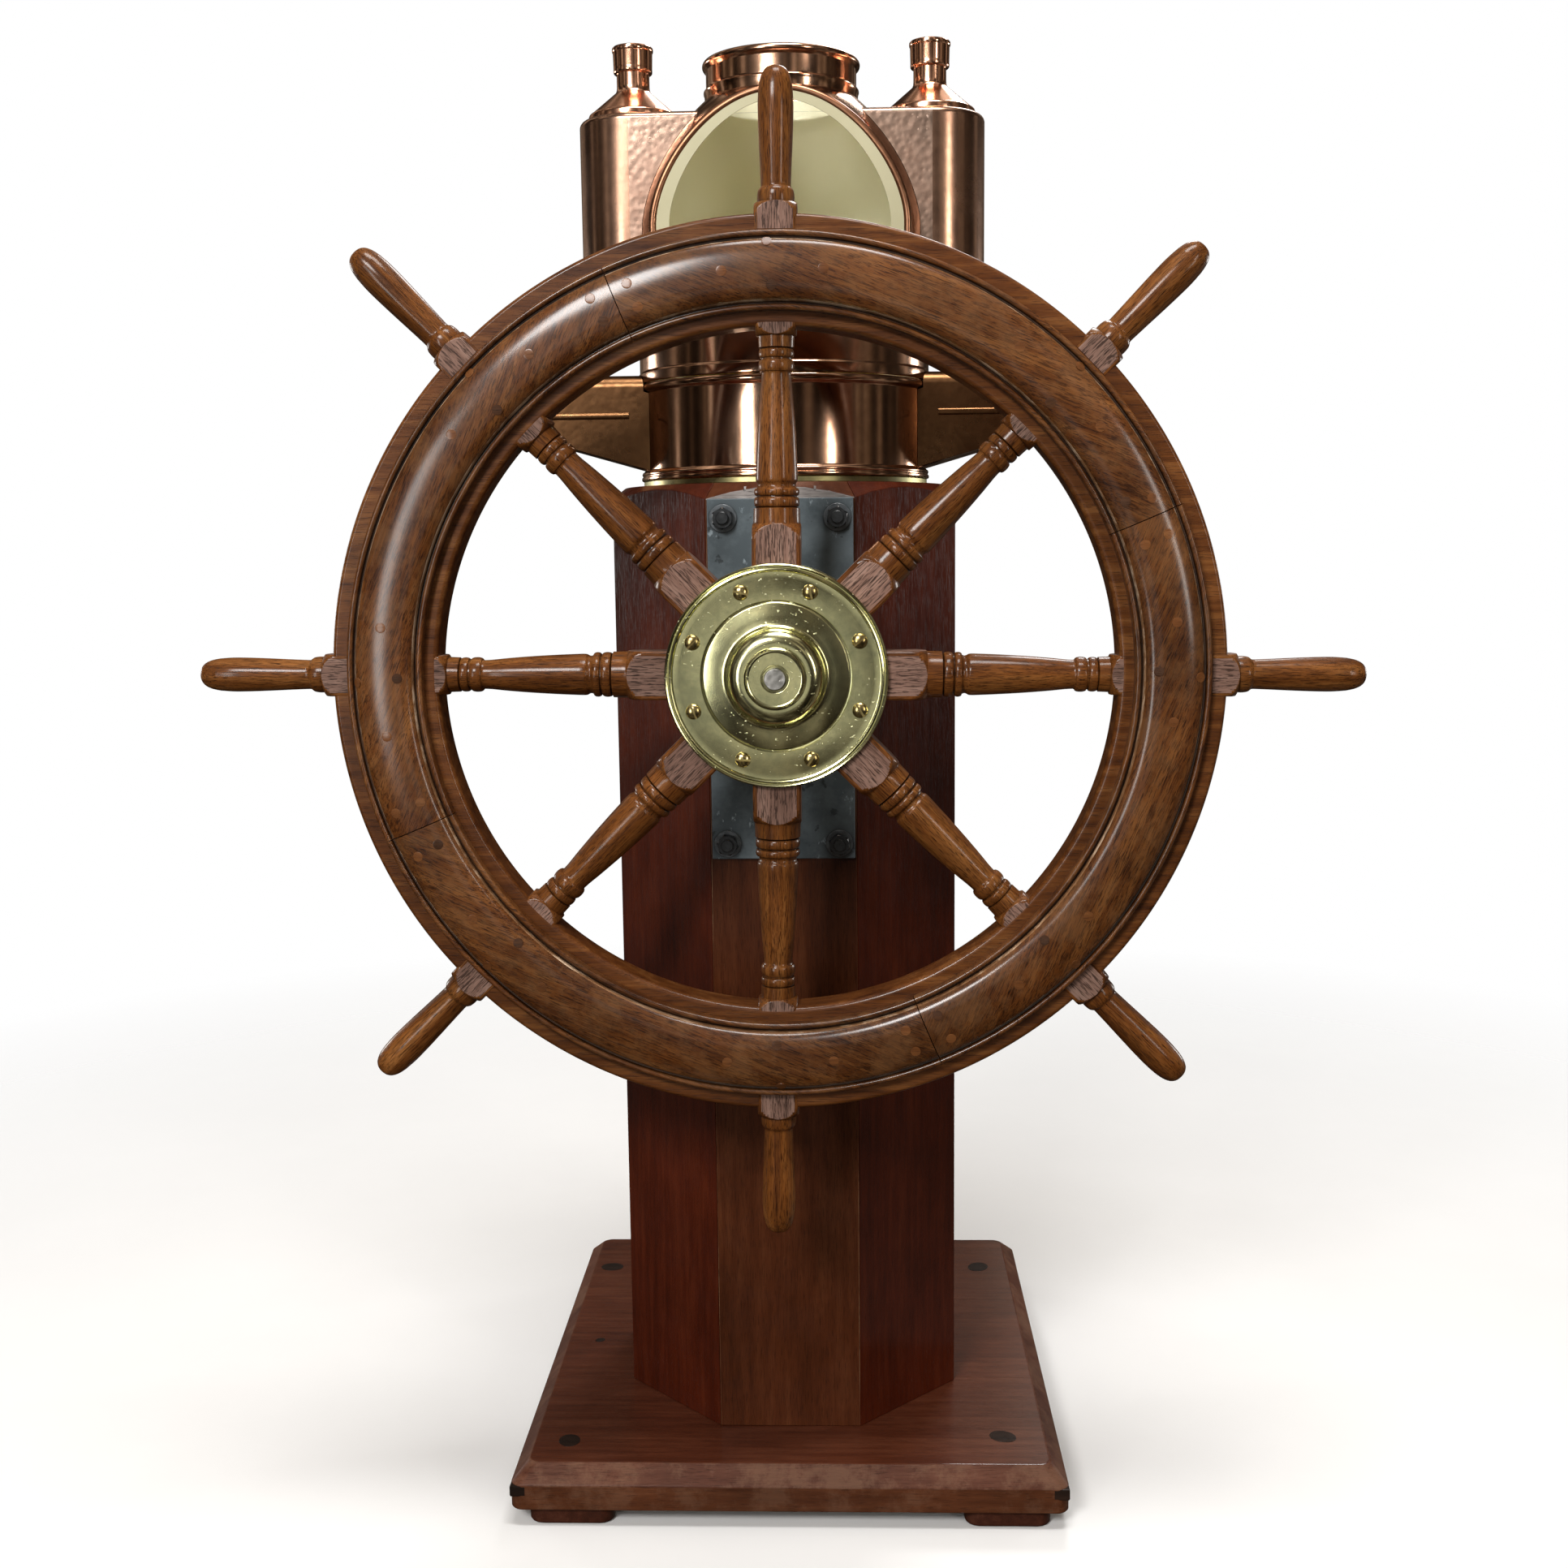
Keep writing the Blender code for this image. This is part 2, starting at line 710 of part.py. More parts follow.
def steering_mounts():
    """The iron plate with its bearing boss, and the beam that holds the shaft's rear end."""
    axis = empty("shaft_axis", (0, COLUMN_Y, HUB_Z), (pi / 2, 0, 0))
    low = (-PLATE_HALF_X, PLATE_LOW - HUB_Z, COLUMN_APOTHEM + GAP)
    high = (PLATE_HALF_X, PLATE_HIGH - HUB_Z, COLUMN_APOTHEM + GAP + PLATE_THICKNESS)
    plate = make("spindle_plate", block("spindle_plate", low, high), "iron", axis)
    face = COLUMN_APOTHEM + PLATE_THICKNESS
    profile = [
        (0, face + BOSS_REACH),
        (0.032, face + BOSS_REACH),
        (0.034, face + 0.020),
        (0.050, face - 0.002),
        (0, face - 0.002),
    ]
    boss = lathe("bearing_boss", profile, SHAFT_SIDES, loop=False)
    combine(plate, cutter("bearing_boss", boss, parent=axis), "UNION")
    bore_r = SHAFT_R + BORE_CLEARANCE
    bore = rod("plate_bore", bore_r, COLUMN_APOTHEM - 0.02, face + BOSS_REACH + 0.02, SHAFT_SIDES)
    combine(plate, cutter("plate_bore", bore, parent=axis))
    reach = COLUMN_APOTHEM - STAVE_THICKNESS - GAP
    back = COLUMN_Y - BEAM_Y
    low = (-reach, -BEAM_HALF, back - BEAM_HALF)
    high = (reach, BEAM_HALF, back + BEAM_HALF)
    beam = make("bearing_beam", block("bearing_beam", low, high), "oak", axis)
    bore = rod("beam_bore", bore_r, back - 0.05, back + 0.05, SHAFT_SIDES)
    combine(beam, cutter("beam_bore", bore, parent=axis))


# Binnacle


def dome_radius(z):
    t = max(0.0, (z - DOME_BOTTOM) / DOME_REACH)
    return HOOD_R * (1 - t**DOME_POWER) ** (1 / DOME_POWER)


def dome_points(grow):
    """Points up the dome's outer surface, moved out by grow."""
    span = DOME_TOP - DOME_BOTTOM
    heights = [DOME_BOTTOM + span * k / DOME_STEPS for k in range(DOME_STEPS + 1)]
    return [(dome_radius(z) + grow, z) for z in heights]


def hood_skin():
    """The hood's outer profile, from its foot to its top rim."""
    return [
        (BEAD_R, DRUM_TOP + GAP),
        (BEAD_R, HOOD_FOOT_TOP),
        (HOOD_R, HOOD_FOOT_TOP + 0.001),
        *dome_points(0.0),
        (NECK_SEAM_R, NECK_LOW - 0.002),
        (NECK_R, NECK_LOW),
        (NECK_R, NECK_BEAD_LOW),
        (NECK_BEAD_R, NECK_BEAD_LOW + 0.001),
        (NECK_BEAD_R, NECK_TOP),
    ]


def hood_core():
    """The hood's inner profile, from its foot up to the neck, with a step that carries the skylight."""
    ledge = SKYLIGHT_SEAT_R - SKYLIGHT_LEDGE
    return [
        (HOOD_R - HOOD_WALL, DRUM_TOP - 0.01),
        (HOOD_R - HOOD_WALL, DOME_BOTTOM),
        *[(r, z - 0.0015) for r, z in dome_points(-HOOD_WALL)[1:-1]],
        (ledge, DOME_TOP),
        (ledge, SKYLIGHT_Z),
        (SKYLIGHT_SEAT_R, SKYLIGHT_Z),
        (SKYLIGHT_SEAT_R, NECK_TOP + 0.01),
    ]


def turned_body(name, profile):
    top = (0, profile[-1][1])
    bottom = (0, profile[0][1])
    return lathe(name, [bottom, *profile, top], ROUND_STEPS, loop=False)


def hood(axis):
    obj = make("hood", turned_body("hood", hood_skin()), "copper", axis)
    low = (-0.2, -0.2, WINDOW_SILL)
    high = (0.2, WINDOW_Y, 1.46)
    combine(obj, cutter("window_cut", block("window_cut", low, high), parent=axis))
    core = cutter("hood_core", turned_body("hood_core", hood_core()), parent=axis)
    low = (-0.2, -0.2, WINDOW_SILL - HOOD_WALL)
    high = (0.2, WINDOW_Y + 0.006, WINDOW_SILL + 0.0001)
    combine(core, cutter("sill_slab", block("sill_slab", low, high), parent=axis))
    combine(obj, core)
    low = (-0.2, -PORT_HALF_Y, PORT_LOW)
    high = (0.2, PORT_HALF_Y, PORT_HIGH)
    combine(obj, cutter("lamp_ports", block("lamp_ports", low, high), parent=axis))


def window_pane(axis):
    """A flat pane standing just behind the hood's cut, shaped to the hood's inner wall."""
    front = -WINDOW_Y - GAP
    margin = 0.0012
    facet = cos(pi / ROUND_STEPS)
    profile = hood_core()[:-4]
    steps = 16

    def inner(z):
        for (r0, z0), (r1, z1) in zip(profile, profile[1:]):
            if z0 <= z <= z1:
                return (r0 + (r1 - r0) * (z - z0) / (z1 - z0)) * facet - margin
        return 0.0

    low = WINDOW_SILL + 0.001
    high = low
    while inner(high + 0.001) > front + 0.001:
        high += 0.001
    right = []
    for k in range(steps + 1):
        z = low + (high - low) * sin(pi / 2 * k / steps)
        right.append((sqrt(max(inner(z) ** 2 - front**2, 0.0)), z))
    outline = right + [(-x, z) for x, z in reversed(right) if x > 0.0005]
    mesh = prism("window_glass", outline, front - GLASS_THICKNESS, front)
    make("window_glass", mesh, "glass", axis, turn=(pi / 2, 0, 0))


def binnacle_shell():
    axis = empty("binnacle_axis", (0, COLUMN_Y, 0))
    low, high = COLUMN_TOP + GAP, DRUM_BOTTOM - GAP
    ring = [(RING_R_OUTER, high), (RING_R_OUTER, low), (RING_R_INNER, low), (RING_R_INNER, high)]
    make("mounting_ring", lathe("mounting_ring", ring, ROUND_STEPS), "brass", axis)
    drum = [
        (DRUM_FOOT_R, DRUM_BOTTOM),
        (DRUM_FOOT_R, DRUM_FOOT_TOP),
        (DRUM_R, DRUM_FOOT_TOP + DRUM_FLARE),
        (DRUM_R, DRUM_BEAD_LOW),
        (BEAD_R, DRUM_BEAD_LOW + DRUM_FLARE),
        (BEAD_R, DRUM_TOP),
        (DRUM_INNER_R, DRUM_TOP),
        (DRUM_INNER_R, DRUM_BOTTOM),
    ]
    make("drum", lathe("drum", drum, ROUND_STEPS), "copper", axis)
    hood(axis)
    window_pane(axis)
    low = SKYLIGHT_Z + GAP
    skylight = rod("skylight_glass", SKYLIGHT_R, low, low + SKYLIGHT_THICKNESS, ROUND_STEPS)
    make("skylight_glass", skylight, "glass", axis)


def slot_outline(radius, root):
    """A half round of the given radius about the lamp's centre, with straight sides back to x = root."""
    arc = [-pi / 2 + pi * k / 12 for k in range(13)]
    outline = [(LAMP_X + radius * cos(a), radius * sin(a)) for a in arc]
    return outline + [(root, radius), (root, -radius)]


def lamp_housing(name, turn):
    axis = empty(name + "_axis", (0, COLUMN_Y, 0), (0, 0, turn))
    outer = prism(name, slot_outline(LAMP_R, 0.050), LAMP_BOTTOM, LAMP_TOP)
    obj = make(name, outer, "copper", axis)
    inner = slot_outline(LAMP_R - SHEET, 0.040)
    space = prism(name + "_space", inner, LAMP_BOTTOM + SHEET, LAMP_TOP - SHEET)
    combine(obj, cutter(name + "_space", space, parent=axis))
    profile = [(r + GAP, z) for r, z in hood_skin()]
    body = turned_body(name + "_fit", profile)
    combine(obj, cutter(name + "_fit", body, parent=axis))
    mouth = rod(name + "_mouth", LAMP_MOUTH_R, LAMP_TOP - 0.01, LAMP_TOP + 0.01, 20)
    combine(obj, cutter(name + "_mouth", mouth, (LAMP_X, 0, 0), parent=axis))


def lamp_lid(name, x):
    seat = LAMP_TOP + GAP
    profile = [
        (0, LID_TOP),
        (LID_CAP_R - 0.002, LID_TOP),
        (LID_CAP_R, LID_TOP - 0.003),
        (LID_CAP_R, LID_CAP_LOW),
        (LID_NECK_R, LID_CAP_LOW),
        (LID_NECK_R, LID_NECK_LOW),
        (LID_COLLAR_R, LID_COLLAR_TOP),
        (LID_COLLAR_R, seat),
        (LID_COLLAR_R - SHEET, seat),
        (LID_COLLAR_R - SHEET, LID_COLLAR_TOP - 0.0015),
        (LID_NECK_R - SHEET, LID_NECK_LOW - 0.0015),
        (LID_NECK_R - SHEET, LID_CAP_LOW + 0.010),
        (0, LID_CAP_LOW + 0.010),
    ]
    make(name, lathe(name, profile, 20, loop=False), "copper", None, (x, COLUMN_Y, 0))


def oil_lamp(name, x):
    """An oil lamp outside the hood's wall: a font, a burner and a chimney."""
    floor = LAMP_BOTTOM + SHEET + GAP
    profile = [
        (0, floor + 0.150),
        (0.009, floor + 0.150),
        (0.009, floor + 0.120),
        (0.016, floor + 0.090),
        (0.012, floor + 0.066),
        (0.012, floor + 0.058),
        (OIL_LAMP_R, floor + 0.048),
        (OIL_LAMP_R, floor),
        (0, floor),
    ]
    make(name, lathe(name, profile, 16, loop=False), "brass", None, (x, COLUMN_Y, 0))


def corrector_outline(inset, root):
    """Side view of a corrector housing: a sloped underside and a rounded outer shoulder."""
    end = CORRECTOR_END - inset
    top = CORRECTOR_TOP - inset
    radius = CORRECTOR_SHOULDER - inset

    def under(x):
        return CORRECTOR_ROOT_Z + (x - DRUM_R) * CORRECTOR_SLOPE + inset / cos(CORRECTOR_TILT)

    arc = [pi / 2 * k / 4 for k in range(5)]
    shoulder = [(end - radius + radius * cos(a), top - radius + radius * sin(a)) for a in arc]
    return [(root, under(root)), (end, under(end)), *shoulder, (root, top)]


def corrector_housing(name, turn):
    axis = empty(name + "_axis", (0, COLUMN_Y, 0), (0, 0, turn))
    upright = (pi / 2, 0, 0)
    width = CORRECTOR_HALF_Y
    mesh = prism(name, corrector_outline(0.0, 0.10), -width, width)
    obj = make(name, mesh, "copper", axis, turn=upright)
    width -= SHEET
    space = prism(name + "_space", corrector_outline(SHEET, 0.09), -width, width)
    combine(obj, cutter(name + "_space", space, turn=upright, parent=axis))
    foot = DRUM_FOOT_TOP + 0.0005
    bead = DRUM_BEAD_LOW - 0.0005
    profile = [
        (DRUM_FOOT_R + GAP, DRUM_BOTTOM - 0.04),
        (DRUM_FOOT_R + GAP, foot),
        (DRUM_R + GAP, foot + DRUM_FLARE),
        (DRUM_R + GAP, bead),
        (BEAD_R + GAP, bead + DRUM_FLARE),
        (BEAD_R + GAP, DRUM_TOP + 0.06),
    ]
    body = turned_body(name + "_fit", profile)
    combine(obj, cutter(name + "_fit", body, parent=axis))


def soft_iron(name, x):
    """A soft iron ball on a short foot inside a corrector housing."""
    steps = 7
    last = radians(-70)
    arc = [pi / 2 + (last - pi / 2) * k / steps for k in range(1, steps + 1)]
    ball = [(IRON_R * cos(a), IRON_Z + IRON_R * sin(a)) for a in arc]
    profile = [(0, IRON_Z + IRON_R), *ball, (ball[-1][0], IRON_FOOT_Z), (0, IRON_FOOT_Z)]
    make(name, lathe(name, profile, 12, loop=False), "iron", None, (x, COLUMN_Y, 0))


def side_fittings():
    for side, sign, turn in (("right", 1, 0.0), ("left", -1, pi)):
        lamp_housing(f"lamp_housing_{side}", turn)
        lamp_lid(f"lamp_lid_{side}", sign * LAMP_X)
        oil_lamp(f"oil_lamp_{side}", sign * OIL_LAMP_X)
        corrector_housing(f"corrector_housing_{side}", turn)
        soft_iron(f"soft_iron_{side}", sign * IRON_X)


# Compass


def pins(name, inner, outer):
    """A pair of pins in line along X, one each side."""
    rods = []
    for sign in (1, -1):
        turn = Matrix.Rotation(sign * pi / 2, 4, "Y")
        rods.append((rod(name, PIN_R, inner, outer, 8), turn))
    return merged(name, rods)


def compass():
    centre = (0, COLUMN_Y, PIVOT_Z)
    ring_axis = empty("gimbal_axis", centre)
    profile = [
        (GIMBAL_OUTER, GIMBAL_HALF),
        (GIMBAL_OUTER, -GIMBAL_HALF),
        (GIMBAL_INNER, -GIMBAL_HALF),
        (GIMBAL_INNER, GIMBAL_HALF),
    ]
    ring = make("gimbal_ring", lathe("gimbal_ring", profile, COMPASS_STEPS), "brass", ring_axis)
    outer = pins("ring_pins", GIMBAL_OUTER - 0.003, DRUM_INNER_R - 0.001)
    combine(ring, cutter("ring_pins", outer, parent=ring_axis), "UNION")

    bowl_axis = empty("bowl_axis", centre)
    top = BOWL_TOP - PIVOT_Z
    bottom = BOWL_BOTTOM - PIVOT_Z
    seat = BOWL_GLASS_Z - PIVOT_Z
    card = CARD_Z - PIVOT_Z
    inside = BOWL_R - BOWL_WALL
    floor = bottom + BOWL_WALL
    profile = [
        (0, bottom),
        (0.045, bottom + 0.006),
        (0.082, bottom + 0.024),
        (0.100, bottom + 0.052),
        (BOWL_R, bottom + 0.080),
        (BOWL_R, top),
        (inside, top),
        (inside, seat),
        (inside - 0.003, seat),
        (inside - 0.003, bottom + 0.080),
        (0.095, bottom + 0.054),
        (0.079, bottom + 0.028),
        (0.044, floor + 0.006),
        (0.004, floor + 0.004),
        (0.003, card - 2 * GAP),
        (0, card - GAP),
    ]
    bowl = make("compass_bowl", lathe("compass_bowl", profile, COMPASS_STEPS, loop=False), "brass", bowl_axis)
    inner = pins("bowl_pins", BOWL_R - 0.002, GIMBAL_INNER - 0.001)
    combine(bowl, cutter("bowl_pins", inner, turn=(0, 0, pi / 2), parent=bowl_axis), "UNION")
    glass = rod("compass_glass", inside - 2 * GAP, seat + GAP, seat + 0.004, COMPASS_STEPS)
    make("compass_glass", glass, "glass", bowl_axis)
    disc = rod("compass_card", CARD_R, card, card + CARD_THICKNESS, COMPASS_STEPS)
    make("compass_card", disc, "card", bowl_axis)


def main():
    clear_scene()
    plinth()
    column()
    door()
    steering_mounts()
    wheel()
    binnacle_shell()
    side_fittings()
    compass()


main()
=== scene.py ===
"""The looks of a ship's wheel and compass binnacle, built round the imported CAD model.

Metres, +Z up. The helmsman's side is -Y. Wheel pieces are made in the wheel's own frame, whose +Z points
to -Y.
"""

from math import acos, atan2, cos, hypot, pi, radians, sin, sqrt, tan

import bmesh
import bpy
from mathutils import Matrix, Vector


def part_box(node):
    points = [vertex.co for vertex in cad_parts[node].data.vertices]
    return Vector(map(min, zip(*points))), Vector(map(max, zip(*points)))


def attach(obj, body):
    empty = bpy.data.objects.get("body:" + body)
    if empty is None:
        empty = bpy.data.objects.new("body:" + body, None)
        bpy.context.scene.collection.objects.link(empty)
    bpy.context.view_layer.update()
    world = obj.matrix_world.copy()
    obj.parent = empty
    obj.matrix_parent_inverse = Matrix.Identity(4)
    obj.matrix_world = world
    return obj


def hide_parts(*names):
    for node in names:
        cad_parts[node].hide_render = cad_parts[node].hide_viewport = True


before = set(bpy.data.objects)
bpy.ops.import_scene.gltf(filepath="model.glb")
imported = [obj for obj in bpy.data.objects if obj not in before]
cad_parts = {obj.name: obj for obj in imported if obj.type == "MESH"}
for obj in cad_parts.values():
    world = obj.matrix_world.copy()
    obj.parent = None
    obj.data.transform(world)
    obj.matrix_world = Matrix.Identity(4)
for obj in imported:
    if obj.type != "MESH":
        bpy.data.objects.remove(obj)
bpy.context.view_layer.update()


def box_centre(node):
    low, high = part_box(node)
    return (low + high) / 2


# Places, read from the frame.
AXIS_Y = box_centre("drum").y
HUB = box_centre("felloe_ring")
COLUMN_LOW, COLUMN_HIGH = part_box("front_stave")
PLINTH_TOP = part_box("plinth_board_front")[1].z
LAMP_LOW, LAMP_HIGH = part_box("lamp_housing_right")
LAMP_X = box_centre("lamp_lid_right").x
PLATE_LOW, PLATE_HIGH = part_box("spindle_plate")
PIVOT_Z = box_centre("gimbal_ring").z
CORRECTOR_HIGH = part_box("corrector_housing_right")[1]

UPRIGHT = Matrix.Rotation(pi / 2, 4, "X")
WHEEL_FRAME = Matrix.Translation(HUB) @ UPRIGHT
BINNACLE_FRAME = Matrix.Translation((0, AXIS_Y, 0))

# The hood's shape, as in the CAD model.
HOOD_R = 0.1525
DOME_BOTTOM = 1.294
DOME_TOP = 1.4275
DOME_REACH = 0.172
DOME_POWER = 1.65
WINDOW_AHEAD = 0.087
WINDOW_SILL = 1.215
LAMP_R = 0.0565
SHEET = 0.0025
BEAD_R = 0.0043

EASE = 0.0008
ROUND = 128
SHARP_EDGE = radians(30)


# Small helpers


def finish(name, bm, materials, body, place=Matrix(), smooth=35, replaces=None):
    """Turns a bmesh into a shown piece that rides on a body and may stand for a CAD node."""
    mesh = bpy.data.meshes.new(name)
    bm.to_mesh(mesh)
    bm.free()
    for material in materials if isinstance(materials, list) else [materials]:
        mesh.materials.append(material)
    if smooth:
        mesh.shade_smooth()
        mesh.set_sharp_from_angle(angle=radians(smooth))
    obj = bpy.data.objects.new(name, mesh)
    bpy.context.scene.collection.objects.link(obj)
    obj.matrix_world = place
    if smooth:
        weigh(obj)
    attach(obj, body)
    if replaces:
        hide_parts(replaces)


def eased(node, suffix, material, body, width, segments=2):
    """Shows a CAD node's own shape with its edges eased by width."""
    finish(f"{node}_{suffix}", refined(node, width, segments), material, body, replaces=node)


def weigh(obj):
    """Lets the large faces set the normals, so that flats beside rounded edges still shade flat."""
    modifier = obj.modifiers.new("weighted", "WEIGHTED_NORMAL")
    modifier.keep_sharp = True
    graph = bpy.context.evaluated_depsgraph_get()
    mesh = bpy.data.meshes.new_from_object(obj.evaluated_get(graph))
    plain = obj.data
    obj.modifiers.clear()
    obj.data = mesh
    name = plain.name
    bpy.data.meshes.remove(plain)
    mesh.name = name


def closed(bm):
    bmesh.ops.recalc_face_normals(bm, faces=bm.faces)
    return bm


def lathe(profile, steps=ROUND, arc=2 * pi, start=0.0, loop=True):
    """Turns (radius, height) points about Z. A loop closes on itself; the other kind ends on the axis."""
    whole = arc > 2 * pi - 0.001
    bm = bmesh.new()
    poles = {i: bm.verts.new((0, 0, z)) for i, (r, z) in enumerate(profile) if r == 0}
    columns = []
    for k in range(steps if whole else steps + 1):
        angle = start + arc * k / steps
        column = []
        for i, (r, z) in enumerate(profile):
            column.append(poles.get(i) or bm.verts.new((r * cos(angle), r * sin(angle), z)))
        columns.append(column)
    edges = len(profile) if loop else len(profile) - 1
    for k in range(steps):
        near, far = columns[k], columns[(k + 1) % len(columns)]
        for i in range(edges):
            j = (i + 1) % len(profile)
            bm.faces.new(list(dict.fromkeys((near[i], near[j], far[j], far[i]))))
    if not whole:
        bm.faces.new(columns[0])
        bm.faces.new(columns[-1])
    return closed(bm)


def solid(profile, steps=ROUND):
    """Turns a profile that is closed by flat ends on the axis."""
    return lathe([(0, profile[0][1]), *profile, (0, profile[-1][1])], steps, loop=False)


def disc(radius, low, high, steps=ROUND):
    """A flat disc with its upper rim eased."""
    edge = 0.0004
    return solid([(radius, low), (radius, high - edge), (radius - edge, high)], steps)


def skin(bm, rings, whole=False):
    """Faces between rings of vertices, either capped at both ends or joined up into a loop."""
    pairs = list(zip(rings, rings[1:]))
    if whole:
        pairs.append((rings[-1], rings[0]))
    else:
        bm.faces.new(rings[0])
        bm.faces.new(rings[-1])
    for near, far in pairs:
        for k, corner in enumerate(near):
            j = (k + 1) % len(near)
            bm.faces.new((corner, near[j], far[j], far[k]))
    return closed(bm)


def stacked(levels):
    """A solid through several outlines with the same number of points, each at its own height."""
    bm = bmesh.new()
    return skin(bm, [[bm.verts.new((x, y, z)) for x, y in outline] for z, outline in levels])


def prism(outline, low, high):
    return stacked([(low, outline), (high, outline)])


def arc_points(centre, radius, first, last, steps):
    """Points of an arc, angles in degrees."""
    made = []
    for k in range(steps + 1):
        angle = radians(first + (last - first) * k / steps)
        made.append((centre[0] + radius * cos(angle), centre[1] + radius * sin(angle)))
    return made


def rounded_ring(inner, outer):
    """A ring's section with rounded edges. Each side is (centre radius, centre height, rounding, steps)."""
    made = []
    for (r, z, rounding, steps), first in ((outer, 90), (inner, 270)):
        side = z if first == 90 else -z
        made += arc_points((r, side), rounding, first, first - 90, steps)
        made += arc_points((r, -side), rounding, first - 90, first - 180, steps)
    return made


def smooth_line(points, steps=5):
    """A Catmull-Rom curve through points."""
    made = []
    for i in range(len(points) - 1):
        p0 = Vector(points[max(i - 1, 0)])
        p1, p2 = Vector(points[i]), Vector(points[i + 1])
        p3 = Vector(points[min(i + 2, len(points) - 1)])
        for k in range(steps):
            t = k / steps
            a = 2 * p1 + (p2 - p0) * t
            b = (2 * p0 - 5 * p1 + 4 * p2 - p3) * t * t
            c = (3 * p1 - p0 - 3 * p2 + p3) * t**3
            made.append(tuple((a + b + c) / 2))
    return made + [tuple(points[-1])]


def loop_tube(path, radius, sides):
    """A round bar along a closed loop of points."""
    bm = bmesh.new()
    points = [Vector(p) for p in path]
    rings = []
    normal = None
    for i, here in enumerate(points):
        along = (points[(i + 1) % len(points)] - points[i - 1]).normalized()
        if normal is None:
            normal = along.orthogonal().normalized()
        normal = (normal - along * normal.dot(along)).normalized()
        other = along.cross(normal)
        ring = []
        for k in range(sides):
            angle = 2 * pi * k / sides
            ring.append(bm.verts.new(here + (normal * cos(angle) + other * sin(angle)) * radius))
        rings.append(ring)
    return skin(bm, rings, whole=True)


def carve(bm, *cutters):
    """Cuts closed shapes out of a closed shape and returns the result as a bmesh."""
    body = bpy.data.meshes.new("carved")
    bm.to_mesh(body)
    bm.free()
    obj = bpy.data.objects.new("carved", body)
    bpy.context.scene.collection.objects.link(obj)
    helpers = []
    for tool in cutters:
        mesh = bpy.data.meshes.new("tool")
        tool.to_mesh(mesh)
        tool.free()
        helper = bpy.data.objects.new("tool", mesh)
        bpy.context.scene.collection.objects.link(helper)
        modifier = obj.modifiers.new("cut", "BOOLEAN")
        modifier.operation = "DIFFERENCE"
        modifier.solver = "EXACT"
        modifier.object = helper
        helpers.append(helper)
    graph = bpy.context.evaluated_depsgraph_get()
    result = bmesh.new()
    result.from_mesh(obj.evaluated_get(graph).to_mesh())
    for helper in [obj, *helpers]:
        mesh = helper.data
        bpy.data.objects.remove(helper)
        bpy.data.meshes.remove(mesh)
    return result


def bevel(bm, width, segments):
    """Rounds the edges at least as sharp as SHARP_EDGE."""
    sharp = []
    for edge in bm.edges:
        if len(edge.link_faces) == 2 and edge.calc_face_angle(0.0) >= SHARP_EDGE:
            sharp.append(edge)
    bmesh.ops.bevel(
        bm, geom=sharp, offset=width, segments=segments, profile=0.5, affect="EDGES", clamp_overlap=True
    )
    return bm


def cuboid(low, high, width=0.0):
    outline = [(low[0], low[1]), (high[0], low[1]), (high[0], high[1]), (low[0], high[1])]
    bm = prism(outline, low[2], high[2])
    return bevel(bm, width, 2) if width else bm


def refined(node, width, segments):
    """The CAD node's own shape with its triangles joined up and its edges eased by width."""
    bm = bmesh.new()
    bm.from_mesh(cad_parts[node].data)
    bmesh.ops.remove_doubles(bm, verts=bm.verts, dist=0.00002)
    bmesh.ops.dissolve_limit(bm, angle_limit=radians(1.0), verts=bm.verts, edges=bm.edges)
    closed(bm)
    return bevel(bm, width, segments) if width else bm


# Materials


class Tree:
    """Shader nodes, made one at a time."""

    def __init__(self, tree):
        self.tree = tree

    def node(self, kind, settings=(), **inputs):
        made = self.tree.nodes.new("ShaderNode" + kind)
        for key, value in dict(settings).items():
            setattr(made, key, value)
        for key, value in inputs.items():
            self.put(made, key.replace("_", " "), value)
        return made

    def put(self, node, key, value):
        socket = node.inputs[int(key)] if key.isdigit() else node.inputs[key]
        if isinstance(value, bpy.types.NodeSocket):
            self.tree.links.new(value, socket)
        else:
            socket.default_value = value

    def noise(self, vector, scale, detail=3.0, rough=0.55, distortion=0.0):
        made = self.node(
            "TexNoise", Vector=vector, Scale=scale, Detail=detail, Roughness=rough, Distortion=distortion
        )
        return made.outputs[0]

    def ramp(self, factor, *stops):
        """stops are (position, value), where value is a number or a colour."""
        made = self.node("ValToRGB")
        self.tree.links.new(factor, made.inputs[0])
        elements = made.color_ramp.elements
        while len(elements) < len(stops):
            elements.new(0.5)
        for element, (position, value) in zip(elements, stops):
            element.position = position
            colour = (value, value, value) if isinstance(value, (int, float)) else value
            element.color = (*colour, 1.0)
        return made.outputs[0]

    def mix(self, factor, a, b, blend="MIX"):
        made = self.node("Mix", {"data_type": "RGBA", "blend_type": blend, "clamp_factor": True})
        self.put(made, "0", factor)
        for index, value in (("6", a), ("7", b)):
            if isinstance(value, (int, float)):
                value = (value, value, value, 1.0)
            elif isinstance(value, tuple) and len(value) == 3:
                value = (*value, 1.0)
            self.put(made, index, value)
        return made.outputs[2]

    def blend(self, factor, *surfaces):
        made = self.node("MixShader")
        for index, value in enumerate((factor, *surfaces)):
            self.put(made, str(index), value)
        return made.outputs[0]

    def math(self, operation, a, b=0.0):
        made = self.node("Math", {"operation": operation})
        self.put(made, "0", a)
        self.put(made, "1", b)
        return made.outputs[0]


